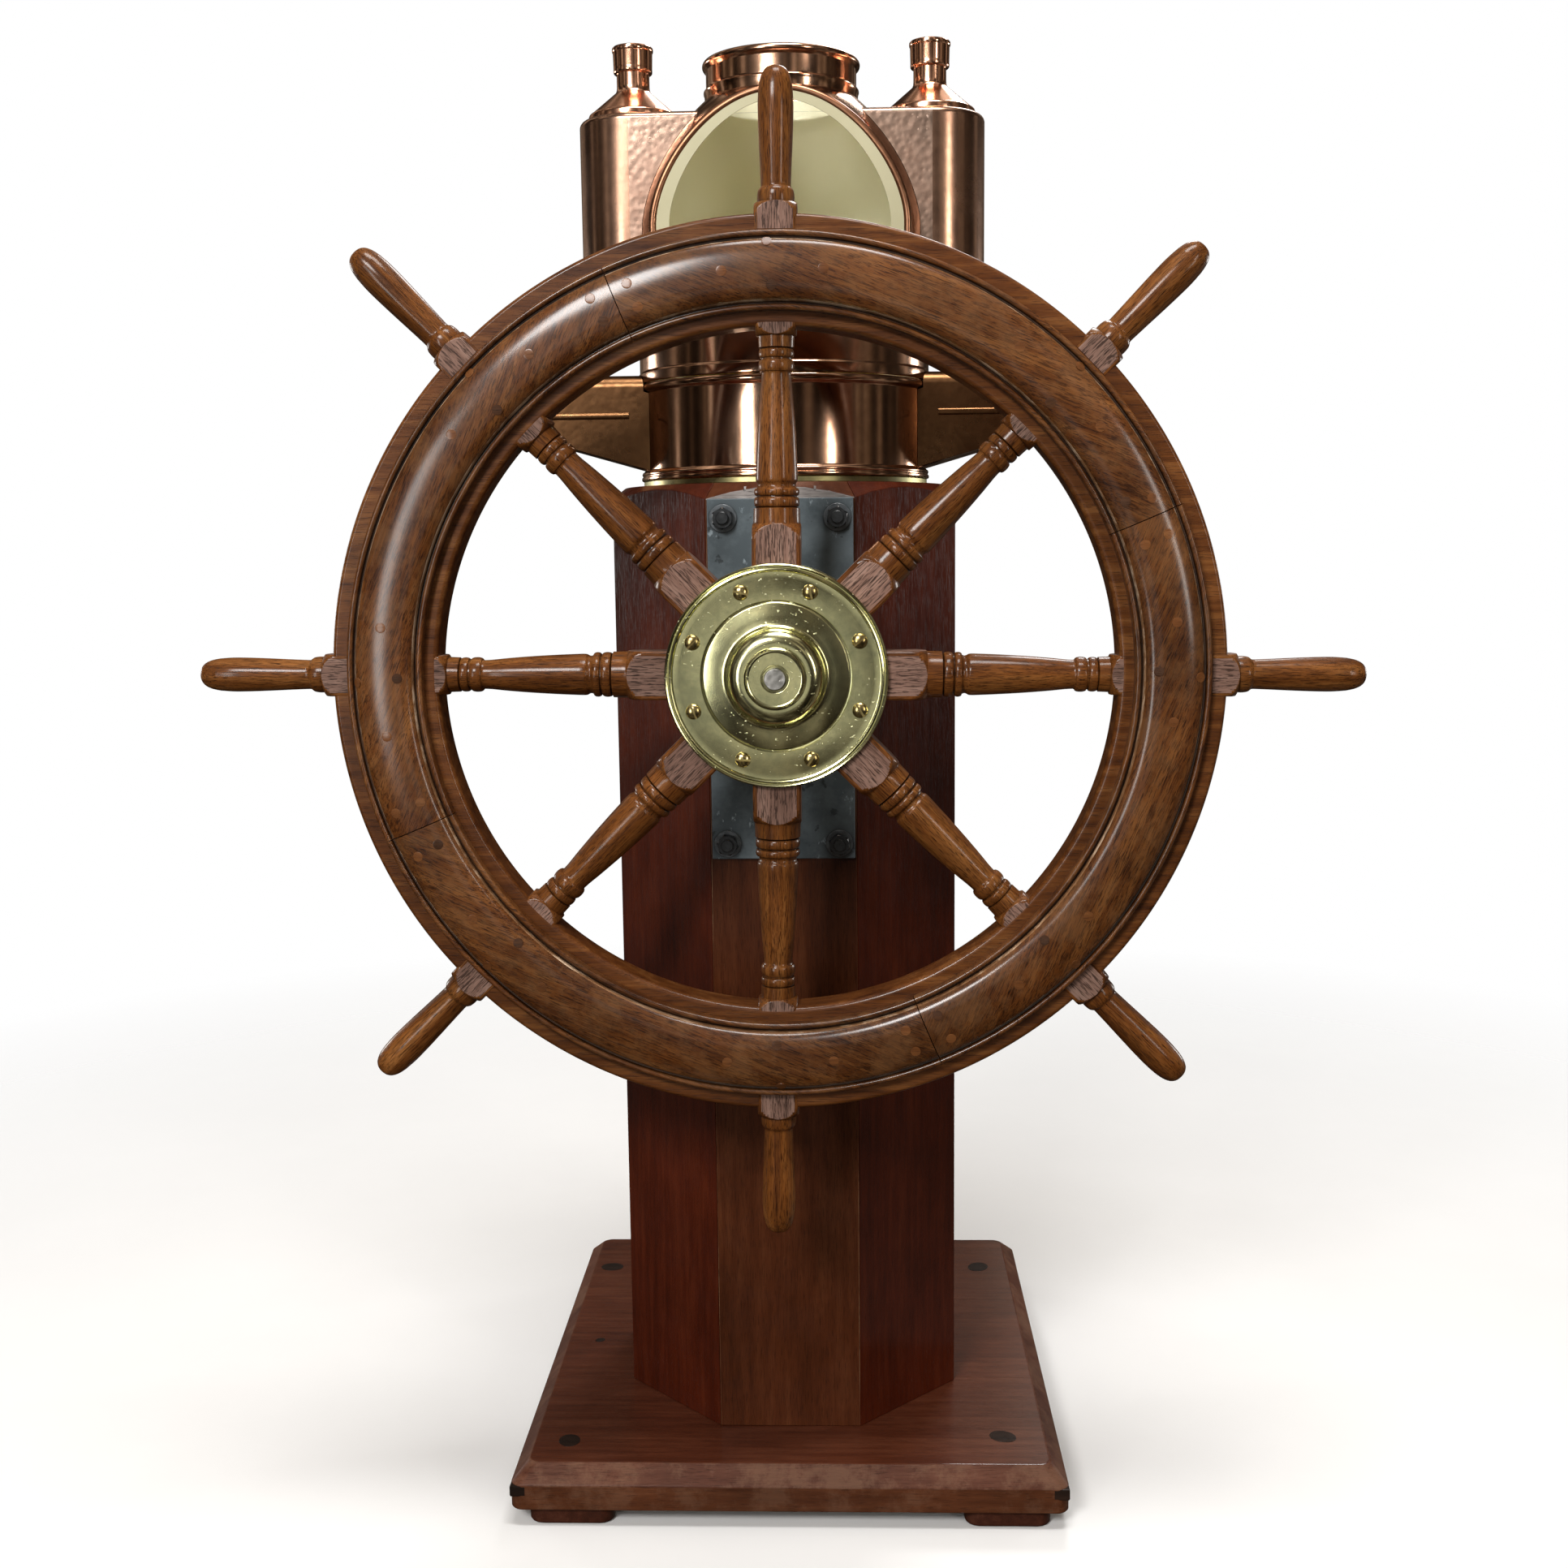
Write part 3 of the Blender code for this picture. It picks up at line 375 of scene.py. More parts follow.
class Shade(Tree):
    """A material's node tree, round its principled surface."""

    def __init__(self, name):
        self.material = bpy.data.materials.new(name)
        self.material.use_nodes = True
        super().__init__(self.material.node_tree)
        self.surface = self.tree.nodes["Principled BSDF"]

    def set(self, **inputs):
        for key, value in inputs.items():
            self.put(self.surface, key.replace("_", " "), value)

    def coords(self, scale=(1, 1, 1), turn=(0, 0, 0), shift=(0, 0, 0)):
        place = self.node("TexCoord").outputs["Object"]
        moved = self.node("Mapping", Vector=place, Location=shift, Rotation=turn, Scale=scale)
        return moved.outputs[0]

    def bump(self, height, distance, strength=1.0, below=None):
        made = self.node("Bump", Height=height, Distance=distance, Strength=strength)
        if below is not None:
            self.tree.links.new(below, made.inputs["Normal"])
        return made.outputs[0]

    def off_axis(self):
        """Distance from the object's own Z axis."""
        parts = self.node("SeparateXYZ", Vector=self.coords())
        x, y = (self.math("POWER", parts.outputs[axis], 2.0) for axis in (0, 1))
        return self.math("SQRT", self.math("ADD", x, y))


def wood(
    name, tones, along, seed=0.0, coat=0.3, rough=(0.45, 0.60), worn=None, pores=0.5, band=0.15, crease_shade=0.5,
    gloss=0.16, specular=0.10, mottle=0.7, dashes=0.0,
):
    """Varnished wood: fine streaks, faint growth bands and open pores along one axis, with painted shade
    darkening its creases.

    tones are dark, middle and light; worn is (colour, amount) for patches where the finish is rubbed.
    """
    shade = Shade(name)

    def along_grain(lengthwise, across):
        return tuple(lengthwise if axis == along else across for axis in "XYZ")

    shift = (seed * 1.7, seed * 2.3, seed * 3.1)
    streak = shade.noise(shade.coords(along_grain(1, 14), shift=shift), 9.0, 6.0, 0.65, 0.3)
    broad = shade.noise(shade.coords(along_grain(0.3, 1), shift=shift), 14.0, 5.0, 0.62, 0.2)
    wave = shade.node(
        "TexWave",
        {"wave_type": "BANDS", "bands_direction": "Y" if along == "X" else "X", "wave_profile": "SAW"},
        Vector=shade.coords(along_grain(0.10, 1), shift=shift),
        Scale=14.0,
        Distortion=9.0,
        Detail=3.0,
        Detail_Scale=1.3,
    ).outputs["Fac"]
    lines = shade.ramp(wave, (0.0, 0.40), (0.80, 0.60), (1.0, 0.22))
    tone = shade.mix(band, shade.mix(0.45, streak, broad), lines)
    colour = shade.ramp(tone, (0.34, tones[0]), (0.50, tones[1]), (0.66, tones[2]))
    pore = shade.noise(shade.coords(along_grain(1, 22), shift=shift), 60.0, 2.0, 0.6)
    pore_mask = shade.ramp(pore, (0.54, 0.0), (0.66, 1.0))
    dark = tuple(c * 0.30 for c in tones[0])
    colour = shade.mix(shade.math("MULTIPLY", pore_mask, pores), colour, dark)
    if dashes:
        dash = shade.noise(shade.coords(along_grain(1, 9), shift=shift), 75.0, 3.0, 0.6, 0.2)
        dash = shade.ramp(dash, (0.53, 0.0), (0.60, 1.0))
        colour = shade.mix(shade.math("MULTIPLY", dash, dashes), colour, dark)
        pore_mask = shade.math("MAXIMUM", pore_mask, dash)
    patch = shade.noise(shade.coords(shift=shift), 6.0, 5.0, 0.65)
    colour = shade.mix(mottle, colour, shade.ramp(patch, (0.32, 0.55), (0.68, 1.25)), "MULTIPLY")
    rub = shade.ramp(shade.noise(shade.coords(shift=shift), 22.0, 8.0, 0.72), (0.47, 0.0), (0.60, 1.0))
    if worn:
        colour = shade.mix(shade.math("MULTIPLY", rub, worn[1]), colour, worn[0])
    # Painted shade: ambient occlusion darkens the wood in its creases and hollows.
    if crease_shade:
        hollow = shade.node("AmbientOcclusion", {"samples": 8, "only_local": True}, Distance=0.006)
        shadow = shade.ramp(hollow.outputs["AO"], (0.35, 0.10), (0.85, 1.0))
        colour = shade.mix(crease_shade, colour, shadow, "MULTIPLY")
    shade.set(
        Base_Color=colour,
        Roughness=shade.ramp(shade.mix(0.5, patch, rub), (0.3, rough[0]), (0.7, rough[1])),
        Coat_Weight=coat,
        Coat_Roughness=gloss,
        Specular_IOR_Level=specular,
    )
    normal = shade.bump(pore_mask, 0.0002, 0.5)
    normal = shade.bump(streak, 0.0004, 0.25, normal)
    shade.set(Normal=shade.bump(patch, 0.0015, 0.25, normal))
    return shade.material


def polished(
    name, colour, dull, rough=(0.10, 0.24), scratch=0.3, hammer=0.0, smudge=0.5, seed=0.0, turned=False,
    pits=0.0, wave=0.10,
):
    """Bare polished metal with cloudy tarnish, fine scratches and, on beaten sheet, shallow hammer marks."""
    shade = Shade(name)
    shift = (seed, seed * 1.3, seed * 0.7)
    cloud = shade.noise(shade.coords(shift=shift), 9.0, 6.0, 0.62, 0.3)
    speck = shade.noise(shade.coords(shift=shift), 90.0, 4.0, 0.6)
    colours = shade.ramp(shade.mix(0.35, cloud, speck), (0.36, dull), (0.62, colour))
    colours = shade.mix(smudge, colour, colours)
    grain = shade.ramp(cloud, (0.32, rough[1]), (0.66, rough[0]))
    dents = None
    if pits:
        nicks = shade.noise(shade.coords((1, 2.2, 1), turn=(0.4, 0.2, 0.7), shift=shift), 240.0, 2.0, 0.6)
        zone = shade.ramp(cloud, (0.44, 0.0), (0.60, 1.0))
        nicks = shade.math("MULTIPLY", shade.ramp(nicks, (0.68, 0.0), (0.73, pits)), zone)
        pale = tuple(min(1.0, c * 1.15 + 0.15) for c in colour)
        colours = shade.mix(nicks, colours, pale)
        grain = shade.mix(nicks, grain, 0.75)
        dents = shade.bump(nicks, 0.0005, 0.5)
    shade.set(Base_Color=colours, Metallic=1.0, Roughness=grain)
    if turned:
        radius = shade.node("CombineXYZ", X=shade.off_axis())
        lines = shade.noise(radius.outputs[0], 900.0, 3.0, 0.7)
    else:
        lines = shade.noise(shade.coords((1, 1, 14), turn=(0.3, 0.2, 0.1), shift=shift), 120.0, 3.0, 0.7)
    normal = shade.bump(lines, 0.0001, scratch * 0.25, dents)
    if hammer:
        cells = shade.node(
            "TexVoronoi", {"feature": "SMOOTH_F1"}, Vector=shade.coords(shift=shift), Scale=150.0,
            Smoothness=0.8
        )
        normal = shade.bump(cells.outputs[0], 0.0006, hammer, normal)
    shade.set(Normal=shade.bump(cloud, 0.0006, wave, normal))
    return shade.material


def paint(
    name, colour, worn, rough=(0.35, 0.6), amount=0.4, scale=30.0, metallic=0.0, specular=0.5, chips=0.0,
    corner_shade=0.0
):
    """Painted metal or paper, rubbed paler or darker in patches, with painted shade in the corners where
    other parts come close.
    """
    shade = Shade(name)
    patch = shade.noise(shade.coords(), scale, 6.0, 0.65)
    broad = shade.noise(shade.coords(), 5.0, 3.0, 0.5)
    mask = shade.ramp(shade.mix(0.4, patch, broad), (0.47, 0.0), (0.62, 1.0))
    tone = shade.mix(shade.math("MULTIPLY", mask, amount), colour, worn)
    # Painted shade: ambient occlusion from nearby parts darkens the paint in its corners.
    if corner_shade:
        nook = shade.node("AmbientOcclusion", {"samples": 8}, Distance=0.010)
        shadow = shade.ramp(nook.outputs["AO"], (0.45, 0.12), (0.95, 1.0))
        tone = shade.mix(corner_shade, tone, shadow, "MULTIPLY")
    if chips:
        chip = shade.noise(shade.coords((1, 1, 0.6)), 70.0, 4.0, 0.7)
        pale = shade.ramp(chip, (0.62, 0.0), (0.68, chips))
        tone = shade.mix(pale, tone, tuple(c * 2.2 + 0.06 for c in worn))
        pock = shade.noise(shade.coords(shift=(3.0, 1.0, 2.0)), 55.0, 3.0, 0.6)
        tone = shade.mix(shade.ramp(pock, (0.64, 0.0), (0.68, chips)), tone, 0.004)
    shade.set(Base_Color=tone, Metallic=metallic, Specular_IOR_Level=specular)
    shade.set(Roughness=shade.ramp(patch, (0.3, rough[0]), (0.7, rough[1])))
    shade.set(Normal=shade.bump(patch, 0.0004, 0.3))
    return shade.material


def clear_glass(name):
    """Thin clear glass that lets light through, with a faint haze."""
    shade = Shade(name)
    haze = shade.noise(shade.coords(), 12.0, 4.0, 0.6)
    shade.set(
        Base_Color=shade.ramp(haze, (0.3, (0.90, 0.95, 0.93)), (0.7, (0.98, 1.0, 0.99))),
        Roughness=shade.ramp(haze, (0.4, 0.01), (0.7, 0.06)),
        Transmission_Weight=1.0,
        IOR=1.05,
        Alpha=0.25,
    )
    return shade.material


MAHOGANY_RED = ((0.034, 0.005, 0.0015), (0.062, 0.009, 0.0025), (0.094, 0.017, 0.005))
MAHOGANY_BROWN = ((0.040, 0.0095, 0.0025), (0.068, 0.017, 0.0048), (0.100, 0.030, 0.010))
PLINTH_TONES = ((0.048, 0.011, 0.005), (0.088, 0.023, 0.010), (0.135, 0.042, 0.020))
OAK_TURNED = ((0.048, 0.013, 0.0028), (0.152, 0.050, 0.0105), (0.290, 0.118, 0.032))
OAK_RIM = ((0.036, 0.0088, 0.0018), (0.108, 0.0340, 0.0072), (0.220, 0.088, 0.0250))
OAK_FLAT = ((0.120, 0.062, 0.044), (0.225, 0.130, 0.098), (0.330, 0.215, 0.170))
BRASS = (0.80, 0.77, 0.42)
BRASS_DULL = (0.38, 0.39, 0.22)
COPPER = (0.93, 0.52, 0.34)
COPPER_DULL = (0.62, 0.27, 0.16)

COPPER_SHEET = polished(
    "copper_sheet", (0.80, 0.49, 0.33), (0.42, 0.22, 0.13), (0.09, 0.19), scratch=0.3, smudge=0.7, wave=0.10
)
COPPER_HAMMERED = polished(
    "copper_hammered", (0.40, 0.275, 0.21), (0.235, 0.142, 0.103), (0.24, 0.38), hammer=0.35, smudge=1.0,
    pits=0.4, wave=0.7
)
COPPER_DULLED = polished(
    "copper_dulled", (0.40, 0.28, 0.215), (0.26, 0.165, 0.12), (0.26, 0.40), hammer=0.45, smudge=1.0,
    seed=8.0, pits=0.5, wave=0.5
)
COPPER_LAMP = polished(
    "copper_lamp", (0.58, 0.35, 0.24), (0.34, 0.185, 0.12), (0.18, 0.30), scratch=0.4, hammer=0.06,
    smudge=0.9
)
COPPER_DARK = polished("copper_edge", (0.42, 0.21, 0.12), (0.20, 0.085, 0.045), (0.24, 0.40), smudge=1.0)
COPPER_LID = polished("copper_lid", COPPER, COPPER_DULL, (0.12, 0.24), scratch=0.4, seed=2.0)
# Copper darkened far below its own colour, as painted shade, for the corrector housings and their seams,
# which sit in shadow.
COPPER_WING_SHADED = polished(
    "copper_wing_shaded", (0.25, 0.125, 0.055), (0.11, 0.050, 0.021), (0.20, 0.36), hammer=0.2, smudge=0.8,
    seed=4.0
)
BRASS_TURNED = polished(
    "brass_turned", BRASS, BRASS_DULL, (0.12, 0.25), turned=True, smudge=0.8, pits=0.8, wave=0.16
)
BRASS_PLAIN = polished("brass_plain", BRASS, BRASS_DULL, (0.12, 0.28), smudge=0.6)
BRASS_SCREW = polished(
    "brass_screw", (0.72, 0.60, 0.27), (0.22, 0.15, 0.055), (0.16, 0.30), smudge=1.0, seed=6.0
)
BRASS_GREEN = polished("brass_greenish", (0.55, 0.47, 0.22), (0.22, 0.24, 0.12), (0.25, 0.45), smudge=0.9)
STEEL = polished(
    "steel_pitted", (0.74, 0.73, 0.70), (0.12, 0.115, 0.10), (0.28, 0.5), hammer=1.0, smudge=1.0, pits=1.0,
    wave=0.3
)
# The iron plate's last figure sets how strongly shade is painted round its nuts.
IRON = paint(
    "iron_black", (0.068, 0.088, 0.100), (0.150, 0.185, 0.205), (0.36, 0.58), 0.8, 24.0, 0.0, 0.35, 0.6, 0.9
)
NUT_IRON = paint("iron_nut", (0.010, 0.012, 0.014), (0.045, 0.050, 0.055), (0.26, 0.38), 0.5, 160.0, 0.0, 0.5)
WASHER_IRON = paint(
    "iron_washer", (0.060, 0.070, 0.078), (0.160, 0.180, 0.195), (0.30, 0.45), 0.6, 120.0, 0.0, 0.5
)
CREAM = paint("cream_paint", (0.90, 0.88, 0.64), (0.80, 0.78, 0.52), (0.35, 0.55), 0.5, 9.0)
# A darker copy of the cream, as painted shade, for the window's flange.
CREAM_PAINTED_SHADE = paint("cream_flange_shaded", (0.46, 0.43, 0.27), (0.38, 0.35, 0.20), (0.4, 0.6), 0.5, 9.0)
CARD = paint("card_paper", (0.80, 0.76, 0.60), (0.66, 0.60, 0.42), (0.55, 0.75), 0.5, 20.0)
INK = paint("card_ink", (0.020, 0.022, 0.030), (0.060, 0.060, 0.070), (0.5, 0.7), 0.4, 60.0)
RED_INK = paint("card_red", (0.35, 0.03, 0.02), (0.45, 0.10, 0.06), (0.5, 0.7), 0.4, 60.0)
GLASS = clear_glass("clear_glass")
DARK_WOOD = wood(
    "dark_stain", ((0.010, 0.006, 0.004), (0.018, 0.010, 0.007), (0.035, 0.018, 0.012)), "X", coat=0.1
)


# Plinth

KEY_WIDTH = 0.0165
KEY_DEPTH = 0.014
KEY_LOW, KEY_HIGH = 0.0322, 0.0438
PROUD = 0.0001


def faced(bm, pick):
    """Gives every face the material index that pick(face) returns."""
    for face in bm.faces:
        face.material_index = pick(face)
    return bm


def build_plinth():
    top = wood(
        "plinth_top", PLINTH_TONES, "X", coat=0.8, rough=(0.40, 0.48), pores=0.35, gloss=0.13, mottle=0.5
    )
    front_tones = ((0.060, 0.018, 0.007), (0.104, 0.034, 0.014), (0.155, 0.060, 0.028))
    front = wood("plinth_edge", front_tones, "X", 3.0, 0.25, (0.45, 0.55), ((0.24, 0.13, 0.08), 0.18))
    side = wood("plinth_side", PLINTH_TONES, "X", 5.0, 0.4, (0.42, 0.52), ((0.20, 0.10, 0.06), 0.2))
    bevel_tones = ((0.056, 0.016, 0.008), (0.094, 0.032, 0.017), (0.140, 0.058, 0.034))
    slope = wood(
        "plinth_bevel", bevel_tones, "X", 7.0, 0.05, (0.50, 0.60), ((0.28, 0.16, 0.10), 0.25), gloss=0.3
    )

    def pick(face):
        if face.normal.z > 0.97:
            return 0
        if face.normal.z > 0.3:
            return 3
        return 1 if face.normal.y < -0.5 else 2

    for part in ("front", "middle", "rear"):
        node = f"plinth_board_{part}"
        bm = faced(board_shape(node, part == "front", part == "rear"), pick)
        finish(f"{node}_worn", bm, [top, front, side, slope], "pedestal", smooth=28, replaces=node)
    feet = wood("foot_wood", ((0.03, 0.010, 0.006), (0.06, 0.018, 0.010), (0.10, 0.035, 0.02)), "Y", coat=0.1)
    for side_name in ("left", "right"):
        eased(f"batten_{side_name}", "worn", feet, "pedestal", 0.0035, 4)
    plugs()
    corner_keys()


def board_shape(node, near_edge, far_edge):
    """A plinth board with eased outer edges and a slightly rounded bevel."""
    low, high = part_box(node)
    run, drop, corner = 0.017, 0.0166, 0.012
    rise = high.z - drop
    levels = [
        (low.z, 0.0016), (low.z + 0.0006, 0.0006), (low.z + 0.0018, 0.0), (rise - 0.0012, 0.0),
        (rise + 0.0002, 0.0005)
    ]
    levels += [
        (rise + 0.0016, 0.0018), (high.z - 0.0014, run - 0.0018), (high.z - 0.0004, run - 0.0002),
        (high.z, run + 0.0014)
    ]
    made = []
    for z, inset in levels:
        side = high.x - inset
        near = low.y + inset * near_edge
        far = high.y - inset * far_edge
        made.append((z, eased_corners(-side, near, side, far, corner * near_edge, corner * far_edge)))
    return stacked(made)


def eased_corners(left, near, right, far, near_radius, far_radius):
    outline = []
    for x, y, radius, first in (
        (left, near, near_radius, 180), (right, near, near_radius, 270), (right, far, far_radius, 0),
        (left, far, far_radius, 90)
    ):
        if not radius:
            outline.append((x, y))
            continue
        centre = (x + (radius if x == left else -radius), y + (radius if y == near else -radius))
        outline += arc_points(centre, radius, first, first + 90, 6)
    return outline


def plugs():
    """The stopped bolt holes in the plinth's top: dark recessed discs, with stain round them."""
    holes = ((-0.240, 0.229, 0.015), (0.226, 0.232, 0.015), (-0.227, -0.209, 0.013), (0.219, -0.196, 0.015))
    bm = bmesh.new()
    for k, (x, y, radius) in enumerate((*holes, (-0.227, 0.021, 0.006))):
        plug = lathe(
            [(0, 0.0004), (radius * 0.6, 0.0005), (radius * 0.93, 0.0003), (radius, -0.002), (0, -0.002)],
            36, loop=False
        )
        squeeze = Matrix.Diagonal((1.0, 0.80 + 0.05 * (k % 3), 1.0, 1.0))
        turn = Matrix.Rotation(0.9 * k, 4, "Z")
        plug.transform(Matrix.Translation((x, AXIS_Y + y, PLINTH_TOP)) @ turn @ squeeze)
        join(bm, plug)
    finish("bolt_plugs", bm, DARK_WOOD, "pedestal")


def join(bm, other):
    mesh = bpy.data.meshes.new("joined")
    other.to_mesh(mesh)
    other.free()
    bm.from_mesh(mesh)
    bpy.data.meshes.remove(mesh)
    return bm


def corner_keys():
    """End grain of the keys let into the plinth's front corners."""
    low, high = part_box("plinth_board_front")
    bm = bmesh.new()
    for sign in (-1, 1):
        x = sorted((sign * (high.x - KEY_WIDTH), sign * (high.x + PROUD)))
        key = cuboid((x[0], low.y - PROUD, KEY_LOW), (x[1], low.y + KEY_DEPTH, KEY_HIGH), 0.0015)
        join(bm, key)
    finish("corner_keys", bm, DARK_WOOD, "pedestal")


# Column

NOTCH_X = 0.034


def build_column():
    red = wood("column_red", MAHOGANY_RED, "Z", coat=0.22, rough=(0.40, 0.55), pores=0.3, gloss=0.2)
    brown = wood("column_brown", MAHOGANY_BROWN, "Z", 2.0, 0.15, (0.45, 0.6), pores=0.45, gloss=0.25)
    edge = wood(
        "column_arris", ((0.06, 0.018, 0.006), (0.12, 0.045, 0.02), (0.30, 0.18, 0.10)), "Z", 3.0, 0.2
    )
    grey = ((0.16, 0.135, 0.125), (0.33, 0.30, 0.285), (0.50, 0.47, 0.455))
    bare = wood("bare_top", grey, "X", coat=0.0, rough=(0.6, 0.8), pores=0.8, mottle=0.9)
    names = ["front_right", "right", "rear_right", "rear", "rear_left", "left", "front_left"]
    for part in names:
        eased(f"{part}_stave", "worn", red, "pedestal", EASE)
    bm = refined("front_stave", EASE, 2)

    def pick(face):
        slanted = 0.08 < abs(face.normal.x) < 0.90 and face.normal.y < -0.3
        if slanted and abs(face.normal.z) < 0.1:
            return 2
        return 1 if face.normal.y < -0.9 and face.calc_center_median().z > PLATE_HIGH.z - 0.001 else 0

    bm = carve(bm, notch(-NOTCH_X), notch(NOTCH_X))
    level = PLATE_HIGH.z - 0.0008
    bmesh.ops.bisect_plane(
        bm, geom=[*bm.verts, *bm.edges, *bm.faces], plane_co=(0, 0, level), plane_no=(0, 0, 1)
    )
    bm = faced(bm, pick)
    finish("front_stave_worn", bm, [brown, bare, edge], "pedestal", replaces="front_stave")
    for node, material in (("column_top_board", red), ("bearing_beam", brown)):
        eased(node, "eased", material, "pedestal", EASE)


def notch(x):
    """A saw notch across the stave's chamfered top edge."""
    return cuboid(
        (x - 0.0012, COLUMN_LOW.y - 0.001, COLUMN_HIGH.z - 0.009),
        (x + 0.0012, COLUMN_LOW.y + 0.004, COLUMN_HIGH.z + 0.001)
    )


def build_door():
    red = wood("door_red", MAHOGANY_RED, "Z", 4.0, 0.22, (0.40, 0.55), pores=0.3, gloss=0.2)
    eased("rear_door", "eased", red, "door", 0.0012)
    eased("door_hinge", "eased", BRASS_PLAIN, "door", 0.0003)
    low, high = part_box("door_hinge")
    margin = 0.024
    bm = bmesh.new()
    for k in range(5):
        z = low.z + margin + (high.z - low.z - 2 * margin) * k / 4
        screw = screw_head(0.0042, 0.0009, 0.4 + 1.3 * k)
        screw.transform(
            Matrix.Translation((high.x - 0.012, high.y - 0.0001, z)) @ Matrix.Rotation(-pi / 2, 4, "X")
        )
        join(bm, screw)
    finish("hinge_screws", bm, BRASS_PLAIN, "door")
    low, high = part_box("door_knob")
    centre = (low + high) / 2
    points = [
        (0.0, 0.024), (0.0045, 0.0237), (0.0085, 0.0225), (0.0118, 0.0200), (0.0130, 0.0170),
        (0.0122, 0.0140)
    ]
    points += [(0.0090, 0.0112), (0.0058, 0.0092), (0.0050, 0.0075), (0.0062, 0.0050), (0.0096, 0.0036)]
    profile = smooth_line(points, 4) + [(0.0100, 0.0030), (0.0100, 0.0003), (0, 0.0003)]
    place = Matrix.Translation((centre.x, low.y - 0.0003, centre.z)) @ Matrix.Rotation(-pi / 2, 4, "X")
    finish(
        "door_knob_turned", lathe(profile, 64, loop=False), BRASS_TURNED, "door_knob", place,
        replaces="door_knob"
    )


# Iron plate

PLATE_THICKNESS = 0.0063
BOLT_X = 0.0555


def build_spindle_plate():
    eased("spindle_plate", "cast", IRON, "pedestal", 0.0012, 3)
    bolts, washers = bmesh.new(), bmesh.new()
    face = COLUMN_LOW.y - PLATE_THICKNESS
    heights = (PLATE_LOW.z + 0.0155, PLATE_HIGH.z - 0.019)
    for k, (x, z) in enumerate([(side * BOLT_X, z) for z in heights for side in (-1, 1)]):
        washer = lathe([(0.007, 0), (0.0135, 0), (0.0135, 0.0016), (0.013, 0.0020), (0.007, 0.0020)], 48)
        nut = hexagon(0.0095, 0.0020, 0.0115, 0.3 + 0.9 * k)
        stud = lathe(
            [(0, 0.0150), (0.0054, 0.0150), (0.0062, 0.0143), (0.0062, 0.002), (0, 0.002)], 40, loop=False
        )
        for shape, group in ((washer, washers), (nut, bolts), (stud, bolts)):
            shape.transform(Matrix.Translation((x, face, z)) @ UPRIGHT)
            join(group, shape)
    finish("plate_bolts", bolts, NUT_IRON, "pedestal")
    finish("plate_washers", washers, WASHER_IRON, "pedestal")


def hexagon(apothem, low, high, turn):
    """A hexagon nut with its corners turned off at both ends."""
    sides = 48
    chamfer = 0.0012
    corner = apothem / cos(pi / 6)
    levels = []
    for z, limit in (
        (low, apothem), (low + chamfer, corner), (high - chamfer, corner), (high, apothem * 0.98)
    ):
        outline = []
        for k in range(sides):
            angle = 2 * pi * k / sides
            local = (angle + pi / 6) % (pi / 3) - pi / 6
            reach = min(apothem / cos(local), limit)
            outline.append((reach * cos(angle + turn), reach * sin(angle + turn)))
        levels.append((z, outline))
    return stacked(levels)


def screw_head(radius, height, turn, slot=0.0012):
    """A slotted round head."""
    profile = [(radius * sin(a), height * cos(a)) for a in [pi / 2 * k / 8 for k in range(9)]]
    profile += [(radius * 0.96, -0.0015), (0, -0.0015)]
    head = lathe(profile, 40, loop=False)
    cut = cuboid((-radius * 1.1, -slot / 2, height * 0.15), (radius * 1.1, slot / 2, height * 1.5))
    head = carve(head, cut)
    head.transform(Matrix.Rotation(turn, 4, "Z"))
    return head


# Wheel

NO_SQUARE = 1.0
HUB_HALF = 0.0220
SPOKE_TURN = radians(-0.5)
RIM_HALF = 0.0182
OUTER_HALF = 0.0190
SPOKE_SIDES = 96
FLATNESS = 0.00002
JOINT_GAP = 0.0004
BORE_R = 0.0129
SCREW_CIRCLE = 0.0815

# The facing ring's section, by radius.
FACING_INNER = 0.3216
CROWN_INNER = 0.3290
CROWN_PEAK = 0.3470
CROWN_OUTER = 0.3826
ARRIS_MIDDLE = 0.3558
# The band where the crown's worn arrises are painted pale, as a glint of light along them.
ARRIS_GLINT_BAND = (0.0255, 0.0269)


